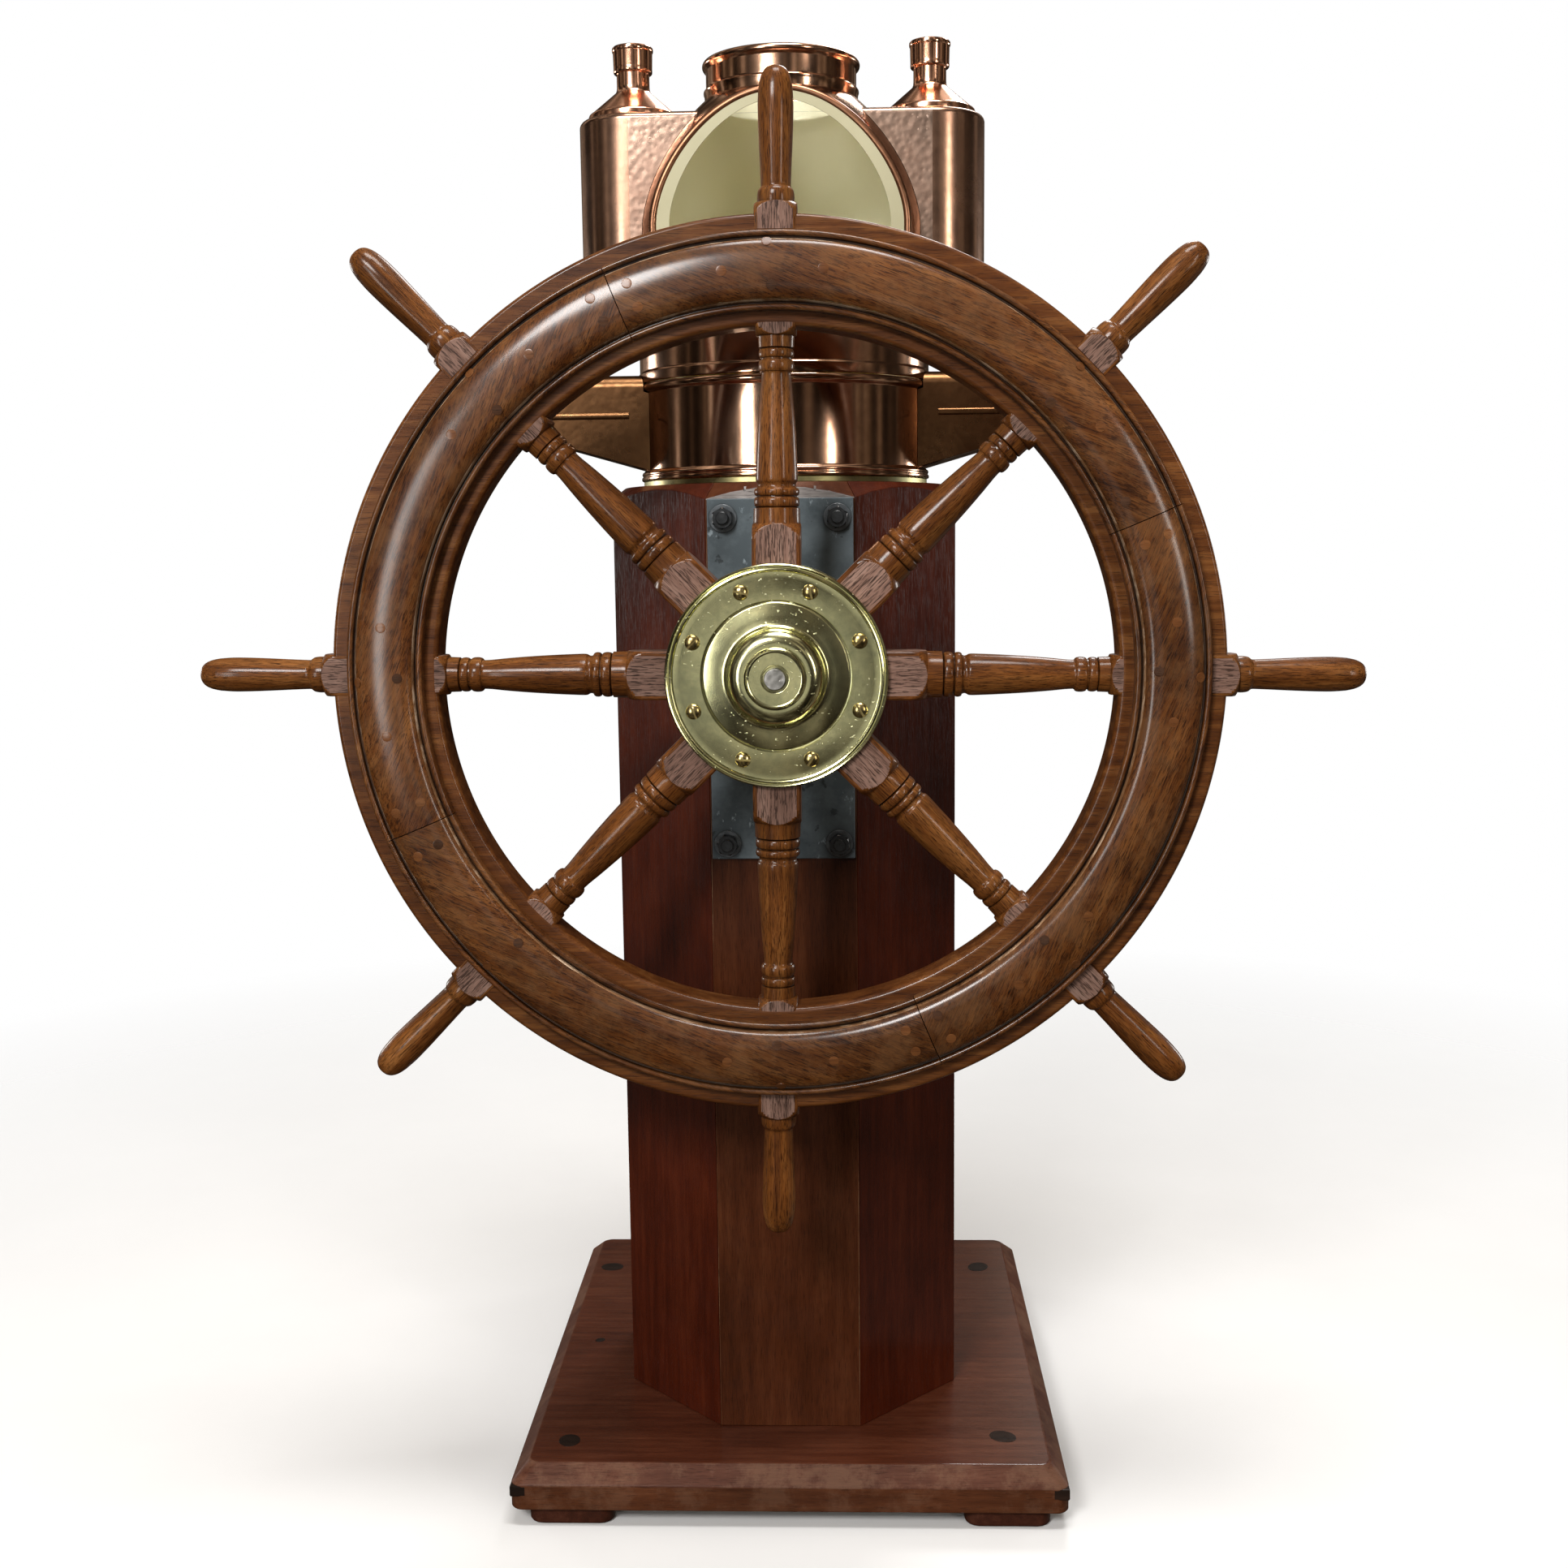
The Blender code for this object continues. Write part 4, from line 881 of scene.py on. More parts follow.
def spoke_sections():
    """(distance, half side of the square, turned radius) along a spoke, close enough to look turned."""
    made = []

    def line(x0, x1, half, r0, r1, steps):
        for k in range(steps + 1):
            t = k / steps
            made.append((x0 + (x1 - x0) * t, half, r0 + (r1 - r0) * t))

    def round_bead(x0, x1, base, top, steps=8):
        for k in range(steps + 1):
            angle = pi * k / steps
            middle, reach = (x0 + x1) / 2, (x1 - x0) / 2
            made.append((middle - reach * cos(angle), NO_SQUARE, base + (top - base) * sin(angle) ** 0.75))

    def curve(points, steps=5):
        for x, r in smooth_line(points, steps):
            made.append((x, NO_SQUARE, r))

    def shoulder(block, turned, half, full, steps=14):
        """Rounds a square block off to a turned neck, leaving an arched flat on each face."""
        side = sqrt(full**2 - half**2)
        points = []
        for k in range(steps + 1):
            t = sin(pi / 2 * k / steps)
            points.append((block + (turned - block) * t, half, hypot(half, side * sqrt(1 - t * t))))
        made.extend(points if block < turned else points[::-1])

    line(0.0545, 0.1225, HUB_HALF, 0.0300, 0.0300, 4)
    shoulder(0.1228, 0.1362, HUB_HALF, 0.0298)
    line(0.1370, 0.1500, NO_SQUARE, 0.0213, 0.0210, 3)
    round_bead(0.1512, 0.1602, 0.0183, 0.0206)
    round_bead(0.1612, 0.1682, 0.0181, 0.0205)
    curve([(0.1690, 0.0176), (0.1706, 0.0172), (0.1724, 0.0176), (0.1748, 0.0188), (0.1790, 0.0190)], 4)
    curve(
        [
            (0.1790, 0.0190), (0.2000, 0.0182), (0.2250, 0.0168),
            (0.2480, 0.0150), (0.2620, 0.0136), (0.2692, 0.0132)
        ]
    )
    round_bead(0.2706, 0.2812, 0.0138, 0.0160)
    round_bead(0.2826, 0.2908, 0.0138, 0.0158)
    line(0.2918, 0.3015, NO_SQUARE, 0.0158, 0.0162, 3)
    shoulder(0.3128, 0.3022, RIM_HALF, 0.0246)
    line(0.3131, 0.3302, RIM_HALF, 0.0248, 0.0248, 3)
    line(0.33045, 0.3915, 0.0120, 0.0300, 0.0300, 2)
    line(0.3918, 0.4052, OUTER_HALF, 0.0258, 0.0258, 3)
    shoulder(0.4055, 0.4160, OUTER_HALF, 0.0256)
    curve(
        [
            (0.4165, 0.0164), (0.4215, 0.0166), (0.4262, 0.0160),
            (0.4284, 0.0148), (0.4300, 0.0136), (0.4325, 0.0134)
        ],
        4
    )
    curve(
        [
            (0.4325, 0.0134), (0.4480, 0.0140), (0.4680, 0.0149),
            (0.4880, 0.0156), (0.5030, 0.0157), (0.5150, 0.0149)
        ]
    )
    curve(
        [
            (0.5155, 0.01485), (0.5225, 0.0134), (0.5280, 0.0110),
            (0.5313, 0.0078), (0.5327, 0.0040), (0.5331, 0.0006)
        ],
        4
    )
    return made


def spoke_shape():
    """The spoke along +X. Faces that are still part of the square blank get material 1."""
    bm = bmesh.new()
    rings = []
    sections = spoke_sections()
    for x, half, radius in sections:
        ring = []
        for k in range(SPOKE_SIDES):
            angle = 2 * pi * (k + 0.5) / SPOKE_SIDES
            reach = min(half / max(abs(cos(angle)), abs(sin(angle))), radius)
            ring.append(bm.verts.new((x, reach * cos(angle), reach * sin(angle))))
        rings.append(ring)
    skin(bm, rings)
    caps = 2
    for index, face in enumerate(list(bm.faces)[caps:]):
        half = sections[1 + index // SPOKE_SIDES][1]
        reach = [max(abs(v.co.y), abs(v.co.z)) for v in face.verts]
        level = max(reach) - min(reach) < FLATNESS
        face.material_index = 1 if half < NO_SQUARE and level and min(reach) > half - FLATNESS else 0
    return bm


def moved_seed(bm, seed):
    """Moves the mesh away from its object's origin, so that the same wood shows another piece of grain."""
    shift = Vector((0.37 * seed, 0.21 * seed, 0.29 * seed))
    bm.transform(Matrix.Translation(shift))
    return Matrix.Translation(-shift)


def build_spokes():
    turned = wood(
        "spoke_oak", OAK_TURNED, "X", coat=0.38, rough=(0.42, 0.54), pores=0.9, crease_shade=0.9, gloss=0.17,
        band=0.3, dashes=0.4, specular=0.06
    )
    flat = wood("spoke_flat", OAK_FLAT, "X", 2.0, 0.08, (0.50, 0.65), pores=1.0, gloss=0.3, dashes=0.85)
    for k in range(8):
        node = f"spoke_{k + 1}"
        bm = spoke_shape()
        turn = Matrix.Rotation(2 * pi * k / 8 + SPOKE_TURN, 4, "Z")
        place = WHEEL_FRAME @ turn @ moved_seed(bm, k)
        finish(f"{node}_turned", bm, [turned, flat], "wheel", place, 40, node)


def ring_section(side):
    """The facing ring's section: a crowned face between two quirked beads."""
    back = 0.0188
    low, rise = 0.0062, 0.0105
    crown = []
    for k in range(25):
        angle = pi - pi * k / 24
        reach = CROWN_PEAK - CROWN_INNER if k < 12 else CROWN_OUTER - CROWN_PEAK
        crown.append((CROWN_PEAK + reach * cos(angle), low + rise * sin(angle) ** 0.85))
    points = [
        (FACING_INNER, 0.0), (FACING_INNER, 0.0074), *arc_points((0.3243, 0.0074), 0.0027, 180, 20, 8),
        (0.3274, 0.0058)
    ]
    points += [(0.3286, 0.0056), *crown, (0.3830, 0.0056), (0.3842, 0.0058)]
    points += [*arc_points((0.3873, 0.0074), 0.0027, 160, 0, 8), (0.3900, 0.0)]
    return [(r, side * (back + z)) for r, z in points]


def crown_height(r):
    """The crowned face's height and slope at radius r."""
    section = [p for p in ring_section(1) if CROWN_INNER - 0.0001 < p[0] < CROWN_OUTER + 0.0001]
    for (r0, z0), (r1, z1) in zip(section, section[1:]):
        if r0 <= r <= r1:
            return z0 + (z1 - z0) * (r - r0) / (r1 - r0), (z1 - z0) / (r1 - r0)
    return section[0][1], 0.0


def plug_shape(r, angle):
    """A wood plug in the crowned face, cut nearly flush."""
    z, slope = crown_height(r)
    radius = 0.0046
    plug = lathe(
        [(0, 0.00025), (radius * 0.8, 0.00022), (radius, 0.0001), (radius, -0.0012), (0, -0.0012)], 24,
        loop=False
    )
    tilt = Matrix.Rotation(-atan2(slope, 1.0), 4, "Y")
    plug.transform(Matrix.Rotation(angle, 4, "Z") @ Matrix.Translation((r, 0, z)) @ tilt)
    return plug


def build_rim():
    rubbed = ((0.175, 0.080, 0.030), 0.35)
    face = wood(
        "rim_oak_wood", OAK_RIM, "X", coat=0.65, rough=(0.42, 0.58), worn=rubbed, pores=0.9, crease_shade=0.9,
        gloss=0.18, mottle=1.0, dashes=0.6, band=0.28
    )
    inner = wood("felloe_oak", OAK_RIM, "X", 1.0, 0.4, (0.42, 0.55), pores=0.6, crease_shade=0.8, gloss=0.18)
    # Pale wood for the crown's worn arrises; its light tone is a painted glint.
    edge = wood(
        "rim_arris_glint", ((0.06, 0.022, 0.008), (0.22, 0.11, 0.05), (0.75, 0.58, 0.42)), "X", 4.0, 0.6,
        crease_shade=0.0, gloss=0.15
    )
    gap = JOINT_GAP / FACING_INNER
    steps = 384
    for k in range(4):
        node = f"rim_front_{k + 1}"
        bm = faced(lathe(ring_section(1), steps // 4, pi / 2 - 2 * gap, pi / 4 + gap), arris)
        middle = radians(22.5 + 45 + 90 * k)
        place = WHEEL_FRAME @ Matrix.Rotation(middle - pi / 2, 4, "Z") @ moved_seed(bm, k + 9)
        finish(f"{node}_carved", bm, [face, edge], "wheel", place, 40, node)
    bm = lathe(ring_section(-1), steps)
    finish("rim_rear_carved", bm, inner, "wheel", WHEEL_FRAME, 40, "rim_rear")
    felloe = rounded_ring((0.3140, 0.0135, 0.005, 6), (0.4016, 0.0145, 0.004, 5))
    bm = lathe(felloe, steps)
    finish("felloe_ring_turned", bm, inner, "wheel", WHEEL_FRAME, 40, "felloe_ring")
    build_plugs()


def arris(face):
    """Material 1 for the thin worn edge on each side of the crown, painted pale as a glint of light along it.
    """
    centre = face.calc_center_median()
    reach = abs(hypot(centre.x, centre.y) - ARRIS_MIDDLE)
    worn = ARRIS_GLINT_BAND[0] < reach < ARRIS_GLINT_BAND[1] and centre.z > 0.0249 and abs(face.normal.z) > 0.05
    return 1 if worn else 0


def build_plugs():
    pale = wood(
        "plug_pale", ((0.085, 0.028, 0.008), (0.150, 0.054, 0.016), (0.230, 0.095, 0.032)), "X", 3.0, 0.4
    )
    dark = wood(
        "plug_dark", ((0.030, 0.012, 0.005), (0.055, 0.021, 0.008), (0.090, 0.038, 0.016)), "X", 6.0, 0.4
    )
    light, deep = bmesh.new(), bmesh.new()
    places = []
    for k in range(8):
        places += [(0.3800, 45 * k), (0.3410, 45 * k), (0.3580, 45 * k + 7.6), (0.3580, 45 * k - 7.6)]
    for k in range(4):
        places += [(r, 22.5 + 90 * k + offset) for r in (0.3450, 0.3680) for offset in (-3.0, 3.0)]
    for count, (r, angle) in enumerate(places):
        wander = 0.0012 * ((count * 7) % 5 - 2) / 2
        plug = plug_shape(r + wander, radians(angle + 0.3 * ((count * 3) % 5 - 2)))
        join(deep if (count * 5) % 4 == 1 else light, plug)
    finish("rim_plugs_pale", light, pale, "wheel", WHEEL_FRAME)
    finish("rim_plugs_dark", deep, dark, "wheel", WHEEL_FRAME)


def build_hub():
    plate = [
        (BORE_R, 0.0223), (0.1000, 0.0223), (0.10125, 0.0235), (0.10125, 0.0262), (0.1009, 0.0275),
        (0.0999, 0.0282)
    ]
    plate += [
        (0.0988, 0.0277), (0.0982, 0.0268), (0.0976, 0.0268), (0.0970, 0.0277), (0.0959, 0.0281),
        (0.0949, 0.0277)
    ]
    plate += [
        (0.0942, 0.0267), (0.0932, 0.0264), (0.0880, 0.0267), (0.0800, 0.0271), (0.0740, 0.0273),
        (0.0688, 0.0274)
    ]
    plate += [(0.0682, 0.0267), (0.0672, 0.0265), (0.0664, 0.0270)]
    swell = [
        (0.0658, 0.0275), (0.0630, 0.0280), (0.0590, 0.0286), (0.0550, 0.0291), (0.0510, 0.0295),
        (0.0480, 0.0299), (0.0462, 0.0306)
    ]
    bell = smooth_line([*swell, (0.0453, 0.0318)], 5)
    for k in range(1, 25):
        angle = pi / 2 * k / 24
        bell.append((0.0300 + 0.0150 * cos(angle) ** 0.9, 0.0324 + 0.0176 * sin(angle) ** 0.9))
    plate += bell + [(BORE_R, 0.0500)]
    finish("hub_plate_turned", lathe(plate, 192), BRASS_TURNED, "wheel", WHEEL_FRAME, 30, "hub_front_plate")
    rear = [(r, -z) for r, z in plate[:12]] + [(0.0942, -0.0269), (BORE_R, -0.0272)]
    finish("hub_back_turned", lathe(rear, 192), BRASS_TURNED, "wheel", WHEEL_FRAME, 30, "hub_rear_plate")
    nut = [
        (0.0099, 0.0503), (0.0274, 0.0503), (0.0280, 0.0510), (0.0280, 0.0570), (0.0277, 0.0582),
        (0.0268, 0.0590)
    ]
    nut += [
        (0.0262, 0.0594), (0.0260, 0.0602), (0.0254, 0.0609), (0.0246, 0.0610), (0.0238, 0.0606),
        (0.0230, 0.0604)
    ]
    nut += [(0.0130, 0.0604), (0.0122, 0.0600), (0.0118, 0.0590), (0.0099, 0.0588)]
    finish("hub_nut_turned", lathe(nut, 128), BRASS_TURNED, "wheel", WHEEL_FRAME, 30, "hub_nut")
    eased("wheel_shaft", "turned", STEEL, "wheel", 0.0006)
    core = lathe([(BORE_R, -0.0220), (0.0535, -0.0220), (0.0535, 0.0220), (BORE_R, 0.0220)], 96)
    finish("hub_core_turned", core, BRASS_TURNED, "wheel", WHEEL_FRAME, 30, "hub_core")
    screws = bmesh.new()
    for k in range(8):
        angle = radians(22.5 + 45 * k)
        head = screw_head(0.00715, 0.0038, 0.7 + 1.1 * k, 0.0020)
        head.transform(Matrix.Translation((SCREW_CIRCLE * cos(angle), SCREW_CIRCLE * sin(angle), 0.0270)))
        join(screws, head)
    finish("hub_screws", screws, BRASS_SCREW, "wheel", WHEEL_FRAME, 35)


# Binnacle

# The ports let the lamps' light through the hood's sides, and the cream paint covers the hood inside.
PORT_HALF = 0.022
PORT_LOW, PORT_HIGH = 1.235, 1.290
NECK_INSIDE = 0.0757
CREAM_LOW, CREAM_HIGH = 1.16, 1.4468
BEYOND = 0.2
CORRECTOR_ROOT = (0.149, 1.053)
CORRECTOR_SLOPE = radians(16.0)


def dome_radius(z):
    t = max(0.0, (z - DOME_BOTTOM) / DOME_REACH)
    return HOOD_R * (1 - t**DOME_POWER) ** (1 / DOME_POWER)


def hood_outer():
    foot = [(0.1528, 1.1403), (0.1538, 1.1410), (0.1541, 1.1424), (0.1541, 1.1496)]
    foot += [(0.1537, 1.1508), (0.1529, 1.1516), (0.1525, 1.1530)]
    heights = [DOME_BOTTOM + (DOME_TOP - DOME_BOTTOM) * k / 28 for k in range(29)]
    dome = [(dome_radius(z), z) for z in heights]
    neck = [
        (0.0796, 1.4310), (0.0799, 1.4350), (0.0806, 1.4360), (0.0806, 1.4374), (0.0798, 1.4384),
        (0.0784, 1.4392), (0.0780, 1.4410)
    ]
    neck += [(0.0780, 1.4575)]
    return foot + dome + neck + arc_points((0.0780, 1.4632), 0.0038, -62, 90, 10)


def hood_inner():
    made = [(HOOD_R - SHEET, 1.13), (HOOD_R - SHEET, DOME_BOTTOM)]
    for k in range(1, 24):
        z = DOME_BOTTOM + (DOME_TOP - DOME_BOTTOM) * k / 24
        made.append((dome_radius(z) - SHEET, z - 0.0015))
    return made + [(0.0725, DOME_TOP), (0.0725, 1.447), (0.0755, 1.447), (0.0755, 1.48)]


def hood_shape():
    shell = solid(hood_outer())
    window = cuboid((-BEYOND, -BEYOND, WINDOW_SILL), (BEYOND, -WINDOW_AHEAD, 1.46))
    slab = cuboid(
        (-BEYOND, -BEYOND, WINDOW_SILL - SHEET), (BEYOND, 0.006 - WINDOW_AHEAD, WINDOW_SILL + PROUD)
    )
    core = carve(solid(hood_inner()), slab)
    ports = cuboid((-BEYOND, -PORT_HALF, PORT_LOW), (BEYOND, PORT_HALF, PORT_HIGH))
    bm = carve(shell, window, core, ports)

    def pick(face):
        centre = face.calc_center_median()
        inward = face.normal.x * centre.x + face.normal.y * centre.y < -0.25 * hypot(centre.x, centre.y)
        roof = face.normal.z < -0.4 and hypot(centre.x, centre.y) < NECK_INSIDE
        return 1 if (inward or roof) and CREAM_LOW < centre.z < CREAM_HIGH else 0

    return faced(bm, pick)


def window_path(grow):
    """Points up the left side of the window's arch, over its top and down the right side."""
    top = 1.30
    while dome_radius(top + 0.0002) + grow > WINDOW_AHEAD:
        top += 0.0002
    right = []
    steps = 40
    for k in range(steps + 1):
        z = WINDOW_SILL + (top - WINDOW_SILL) * sin(pi / 2 * k / steps)
        reach = (dome_radius(z) + grow) ** 2 - WINDOW_AHEAD**2
        right.append((sqrt(max(reach, 0.0)), -WINDOW_AHEAD, z))
    return [(-x, y, z) for x, y, z in right] + right[-2::-1]


def window_bead():
    """The rolled edge round the window's arch and along its sill."""
    arch = [(x, y + 0.0022, z) for x, y, z in window_path(0.0022)]
    end = acos(min(arch[-1][0] / HOOD_R, 1.0))
    sill = []
    for k in range(1, 24):
        angle = -end - (pi - 2 * end) * k / 24
        sill.append((HOOD_R * cos(angle), HOOD_R * sin(angle), WINDOW_SILL))
    return loop_tube(arch + sill, BEAD_R, 14)


def window_flange():
    """The cream strip just inside the window's bead, in a darker cream that paints shade on it."""
    outer = window_path(-0.0010)
    bm = bmesh.new()
    count = len(outer)
    back, front = Vector((0, 0.0002, 0)), Vector((0, -0.0012, 0))
    rings = []
    for i, (x, y, z) in enumerate(outer):
        t = abs(i / (count - 1) - 0.5) * 2
        width = 0.0075 + 0.0075 * t
        before, after = Vector(outer[max(i - 1, 0)]), Vector(outer[min(i + 1, count - 1)])
        along = (after - before).normalized()
        inward = Vector((along.z, 0, -along.x))
        near = Vector((x, y, z))
        far = near + inward * width
        rings.append([bm.verts.new(p) for p in (near + front, far + front, far + back, near + back)])
    return skin(bm, rings)


def build_hood():
    finish("hood_copper", hood_shape(), [COPPER_SHEET, CREAM], "hood", BINNACLE_FRAME, 35, "hood")
    finish("window_bead", window_bead(), COPPER_DARK, "hood", BINNACLE_FRAME, 60)
    finish("window_flange", window_flange(), CREAM_PAINTED_SHADE, "hood", BINNACLE_FRAME, 35)
    eased("window_glass", "clear", GLASS, "hood", 0.0)
    glass = disc(0.0748, 1.4473, 1.4513)
    finish("skylight_clear", glass, GLASS, "hood", BINNACLE_FRAME, 35, "skylight_glass")


def build_drum():
    ring = [
        (0.128, 1.0343), (0.1492, 1.0343), (0.1505, 1.0352), (0.1505, 1.0398), (0.1497, 1.0407),
        (0.128, 1.0407)
    ]
    finish("mounting_ring_turned", lathe(ring), BRASS_GREEN, "pedestal", BINNACLE_FRAME, 30, "mounting_ring")
    wall = [
        (0.146, 1.1400), (0.146, 1.0410), (0.1515, 1.0410), (0.1525, 1.0416), (0.1529, 1.0430),
        (0.1525, 1.0446)
    ]
    wall += [
        (0.1516, 1.0452), (0.1516, 1.0462), (0.1522, 1.0470), (0.1523, 1.0482), (0.1517, 1.0496),
        (0.1500, 1.0508)
    ]
    wall += [
        (0.1490, 1.0525), (0.1490, 1.1300), (0.1498, 1.1312), (0.1512, 1.1318), (0.1528, 1.1326),
        (0.1538, 1.1340)
    ]
    wall += [(0.1541, 1.1360), (0.1537, 1.1382), (0.1526, 1.1397), (0.1510, 1.1400)]
    finish("drum_copper", lathe(wall), COPPER_SHEET, "pedestal", BINNACLE_FRAME, 35, "drum")


def housing_outline(radius, root):
    """The lamp housing from above: a half round, and flat sides that run in to the hood."""
    arc = [-pi / 2 + pi * k / 32 for k in range(33)]
    outline = [(LAMP_X + radius * cos(a), radius * sin(a)) for a in arc]
    return [*outline, (root, radius), (root, -radius)]


def build_lamp(side, turn):
    low, high = LAMP_LOW.z, LAMP_HIGH.z
    edge = 0.0065
    rounding = []
    for k in range(7):
        angle = pi / 2 * k / 6
        outline = housing_outline(LAMP_R - edge * (1 - sin(angle)), 0.05)
        rounding.append((edge * (1 - cos(angle)), outline))
    levels = [(low + rise, outline) for rise, outline in rounding]
    levels += [(high - rise, outline) for rise, outline in reversed(rounding)]
    space = prism(housing_outline(LAMP_R - SHEET, 0.04), low + 0.004, high - 0.0025)
    fit = solid([(r + 0.0003, z) for r, z in hood_outer()])
    mouth = lathe(
        [(0, high + 0.01), (0.040, high + 0.01), (0.040, high - 0.01), (0, high - 0.01)], 64, loop=False
    )
    mouth.transform(Matrix.Translation((LAMP_X, 0, 0)))
    bm = carve(stacked(levels), space, fit, mouth)
    place = BINNACLE_FRAME @ Matrix.Rotation(turn, 4, "Z")
    node = f"lamp_housing_{side}"

    def pick(face):
        centre = face.calc_center_median()
        return 1 if centre.x < LAMP_X and abs(face.normal.y) > 0.9 else 0

    web = COPPER_HAMMERED if side == "left" else COPPER_DULLED
    finish(f"{node}_copper", faced(bm, pick), [COPPER_LAMP, web], "hood", place, 35, node)
    build_lid(side, place)
    build_oil_lamp(side)


def build_lid(side, place):
    cone = [(0.0448, 1.4176), (0.0436, 1.4184), (0.0194, 1.4390), (0.0180, 1.4406), (0.0173, 1.4428)]
    outer = [
        (0.0435, 1.4103), (0.0460, 1.4103), (0.0468, 1.4112), (0.0468, 1.4150), (0.0464, 1.4163),
        (0.0456, 1.4171)
    ]
    outer += cone + [
        (0.0170, 1.4460), (0.0170, 1.4588), (0.0194, 1.4594), (0.0200, 1.4602), (0.0202, 1.4616),
        (0.0201, 1.4640)
    ]
    outer += [
        (0.0201, 1.4650), (0.0205, 1.4802), (0.0212, 1.4810), (0.0214, 1.4826), (0.0212, 1.4844),
        (0.0200, 1.4856)
    ]
    outer += [
        (0.0186, 1.4852), (0.0178, 1.4844), (0.0090, 1.4850), (0.0070, 1.4862), (0.0045, 1.4874),
        (0, 1.4880)
    ]
    inner = [(0, 1.4700), (0.0145, 1.4700), (0.0145, 1.4400), (0.0415, 1.4158), (0.0415, 1.4103)]
    bm = lathe(outer[::-1] + inner[::-1][:-1] + [inner[0]], 96, loop=False)
    shift = Matrix.Translation((LAMP_X, 0, 0))
    finish(f"lamp_lid_{side}_spun", bm, COPPER_LID, f"lamp_lid_{side}", place @ shift, 35, f"lamp_lid_{side}")


def build_oil_lamp(side):
    low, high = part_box(f"oil_lamp_{side}")
    centre = (low + high) / 2
    base = low.z
    points = [
        (0.0090, 0.150), (0.0086, 0.136), (0.0090, 0.122), (0.0130, 0.106), (0.0160, 0.092),
        (0.0145, 0.078), (0.0118, 0.068)
    ]
    profile = [(0, 0.150), *smooth_line(points, 4), (0.0120, 0.0600), (0.0128, 0.0585), (0.0120, 0.0570)]
    profile += smooth_line([(0.0130, 0.0550), (0.0175, 0.0505), (0.0194, 0.0440)], 4) + [
        (0.0190, 0.0040), (0.0195, 0.0030), (0.0195, 0), (0, 0)
    ]
    bm = lathe([(r, base + z) for r, z in profile], 64, loop=False)
    place = Matrix.Translation((centre.x, centre.y, 0))
    finish(f"oil_lamp_{side}_turned", bm, BRASS_TURNED, "hood", place, 35, f"oil_lamp_{side}")


def corrector_outline(inset, under, root):
    """The corrector housing from the side, with its sloped underside and rounded shoulder."""
    end = CORRECTOR_HIGH.x - inset
    top = CORRECTOR_HIGH.z - inset
    radius = 0.020 - inset * 0.5

    def floor(x):
        return CORRECTOR_ROOT[1] + (x - CORRECTOR_ROOT[0]) * tan(CORRECTOR_SLOPE) + under

    shoulder = arc_points((end - radius, top - radius), radius, 0, 90, 9)
    return [(root, floor(root)), (end, floor(end)), *shoulder, (root, top)]


def build_corrector(side, turn):
    width = 0.055
    roll = 0.013
    half = []
    for k in range(9):
        angle = pi / 2 * k / 8
        inset = roll * (1 - cos(angle))
        half.append((width - roll * (1 - sin(angle)), corrector_outline(inset, inset * 0.12, 0.10)))
    body = stacked([(-across, outline) for across, outline in reversed(half)] + half)
    inner = prism(corrector_outline(0.014, 0.003, 0.09), -0.040, 0.040)
    body.transform(UPRIGHT)
    inner.transform(UPRIGHT)
    fit_profile = [
        (0.1532, 1.00), (0.1532, 1.0505), (0.1493, 1.0520), (0.1493, 1.1300), (0.1545, 1.1318),
        (0.1545, 1.20)
    ]
    bm = carve(body, inner, solid(fit_profile))
    place = BINNACLE_FRAME @ Matrix.Rotation(turn, 4, "Z")
    node = f"corrector_housing_{side}"
    finish(f"{node}_beaten", bm, COPPER_WING_SHADED, "pedestal", place, 40, node)
    finish(f"corrector_band_{side}", corrector_band(), COPPER_WING_SHADED, "pedestal", place, 50)


def corrector_band():
    """The folded seam that runs round the corrector housing."""
    end = CORRECTOR_HIGH.x - 0.0012
    bead = [(1.1034, -0.003), (1.1038, 0.0004), (1.1046, 0.0014), (1.1060, 0.0019)]
    bead += [(1.1086, 0.0019), (1.1100, 0.0014), (1.1108, 0.0004), (1.1112, -0.003)]
    levels = []
    for z, out in bead:
        half = 0.0545 + out
        corner = 0.006
        outline = [(0.160, -half), *arc_points((end - corner + out, -half + corner), corner, -90, 0, 6)]
        outline += [*arc_points((end - corner + out, half - corner), corner, 0, 90, 6), (0.160, half)]
        levels.append((z, outline))
    return stacked(levels)


# Compass


def add_pins(bm, root, tip, turn):
    """Joins two gimbal pins to a shape, on opposite sides of it."""
    profile = [(0, tip), (0.0036, tip), (0.0040, tip - 0.0005), (0.0040, root), (0, root)]
    for sign in (1, -1):
        pin = lathe(profile, 24, loop=False)
        pin.transform(Matrix.Rotation(turn, 4, "Z") @ Matrix.Rotation(sign * pi / 2, 4, "Y"))
        join(bm, pin)


